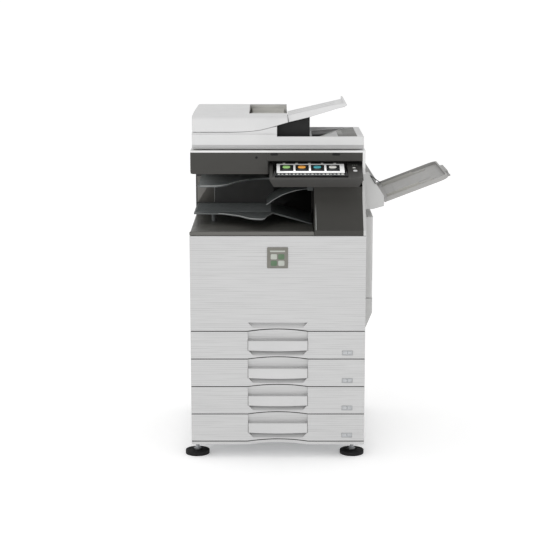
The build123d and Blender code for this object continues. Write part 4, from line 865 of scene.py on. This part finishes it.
# ======================= studio and camera ==============================================
CAMERA_BACK = 4.956          # in front of the cabinet's front face
CAMERA_HEIGHT = 1.6125
CAMERA_PITCH = 11.2
CAMERA_LEFT = 0.0012         # of the cabinet's centre plane
FOCAL = 97.8
SENSOR = 36.0
FAR_CLIP = 300
SKY_STRENGTH = 0.86
FLOOR_GLOW = 0.22
FLOOR_REACH = 60             # metres each way, three times as far behind
LAMP_AIM = Vector((0, 0, 0.7))
LAMPS = (                    # name, place, size in metres, watts
    ("key", (-1.6, -5.2, 2.2), 3.0, 34),
    ("fill", (3.4, -3.6, 2.0), 3.0, 8),
    ("side", (-4.0, 0.4, 2.6), 2.5, 10),
)


def studio():
    """A pale floor that runs out of view, an even sky and three soft lights."""
    world = bpy.data.worlds.new("studio_sky")
    bpy.context.scene.world = world
    world.use_nodes = True
    sky = world.node_tree.nodes["Background"]
    sky.inputs["Color"].default_value = (1, 1, 1, 1)
    sky.inputs["Strength"].default_value = SKY_STRENGTH
    floor_mesh = bpy.data.meshes.new("studio_floor")
    reach = FLOOR_REACH
    floor_mesh.from_pydata([(-reach, -reach, 0), (reach, -reach, 0), (reach, reach * 3, 0),
                            (-reach, reach * 3, 0)], [], [(0, 1, 2, 3)])
    floor = bpy.data.objects.new("studio_floor", floor_mesh)
    bpy.context.scene.collection.objects.link(floor)
    paint = Paint("studio_floor", (0.95, 0.95, 0.95, 1), 0.85, specular=0.1)
    paint.shader.inputs["Emission Color"].default_value = (1, 1, 1, 1)
    paint.shader.inputs["Emission Strength"].default_value = FLOOR_GLOW
    paint.tint(paint.noise(1.5, 2.0), 0.995, 1.005)
    floor_mesh.materials.append(paint.material)
    for name, place, size, power in LAMPS:
        light = bpy.data.lights.new(name, "AREA")
        light.size = size
        light.energy = power
        lamp = bpy.data.objects.new(name, light)
        lamp.location = place
        aim = LAMP_AIM - lamp.location
        lamp.rotation_euler = aim.to_track_quat("-Z", "Y").to_euler()
        bpy.context.scene.collection.objects.link(lamp)
    camera = bpy.data.cameras.new("camera")
    camera.lens = FOCAL
    camera.sensor_width = SENSOR
    camera.clip_end = FAR_CLIP
    eye = bpy.data.objects.new("camera", camera)
    eye.location = (CENTRE_X - CAMERA_LEFT, FRONT_Y - CAMERA_BACK, CAMERA_HEIGHT)
    eye.rotation_euler = (math.radians(90 - CAMERA_PITCH), 0, 0)
    bpy.context.scene.collection.objects.link(eye)
    bpy.context.scene.camera = eye
    bpy.context.scene.view_settings.view_transform = "Standard"


studio()
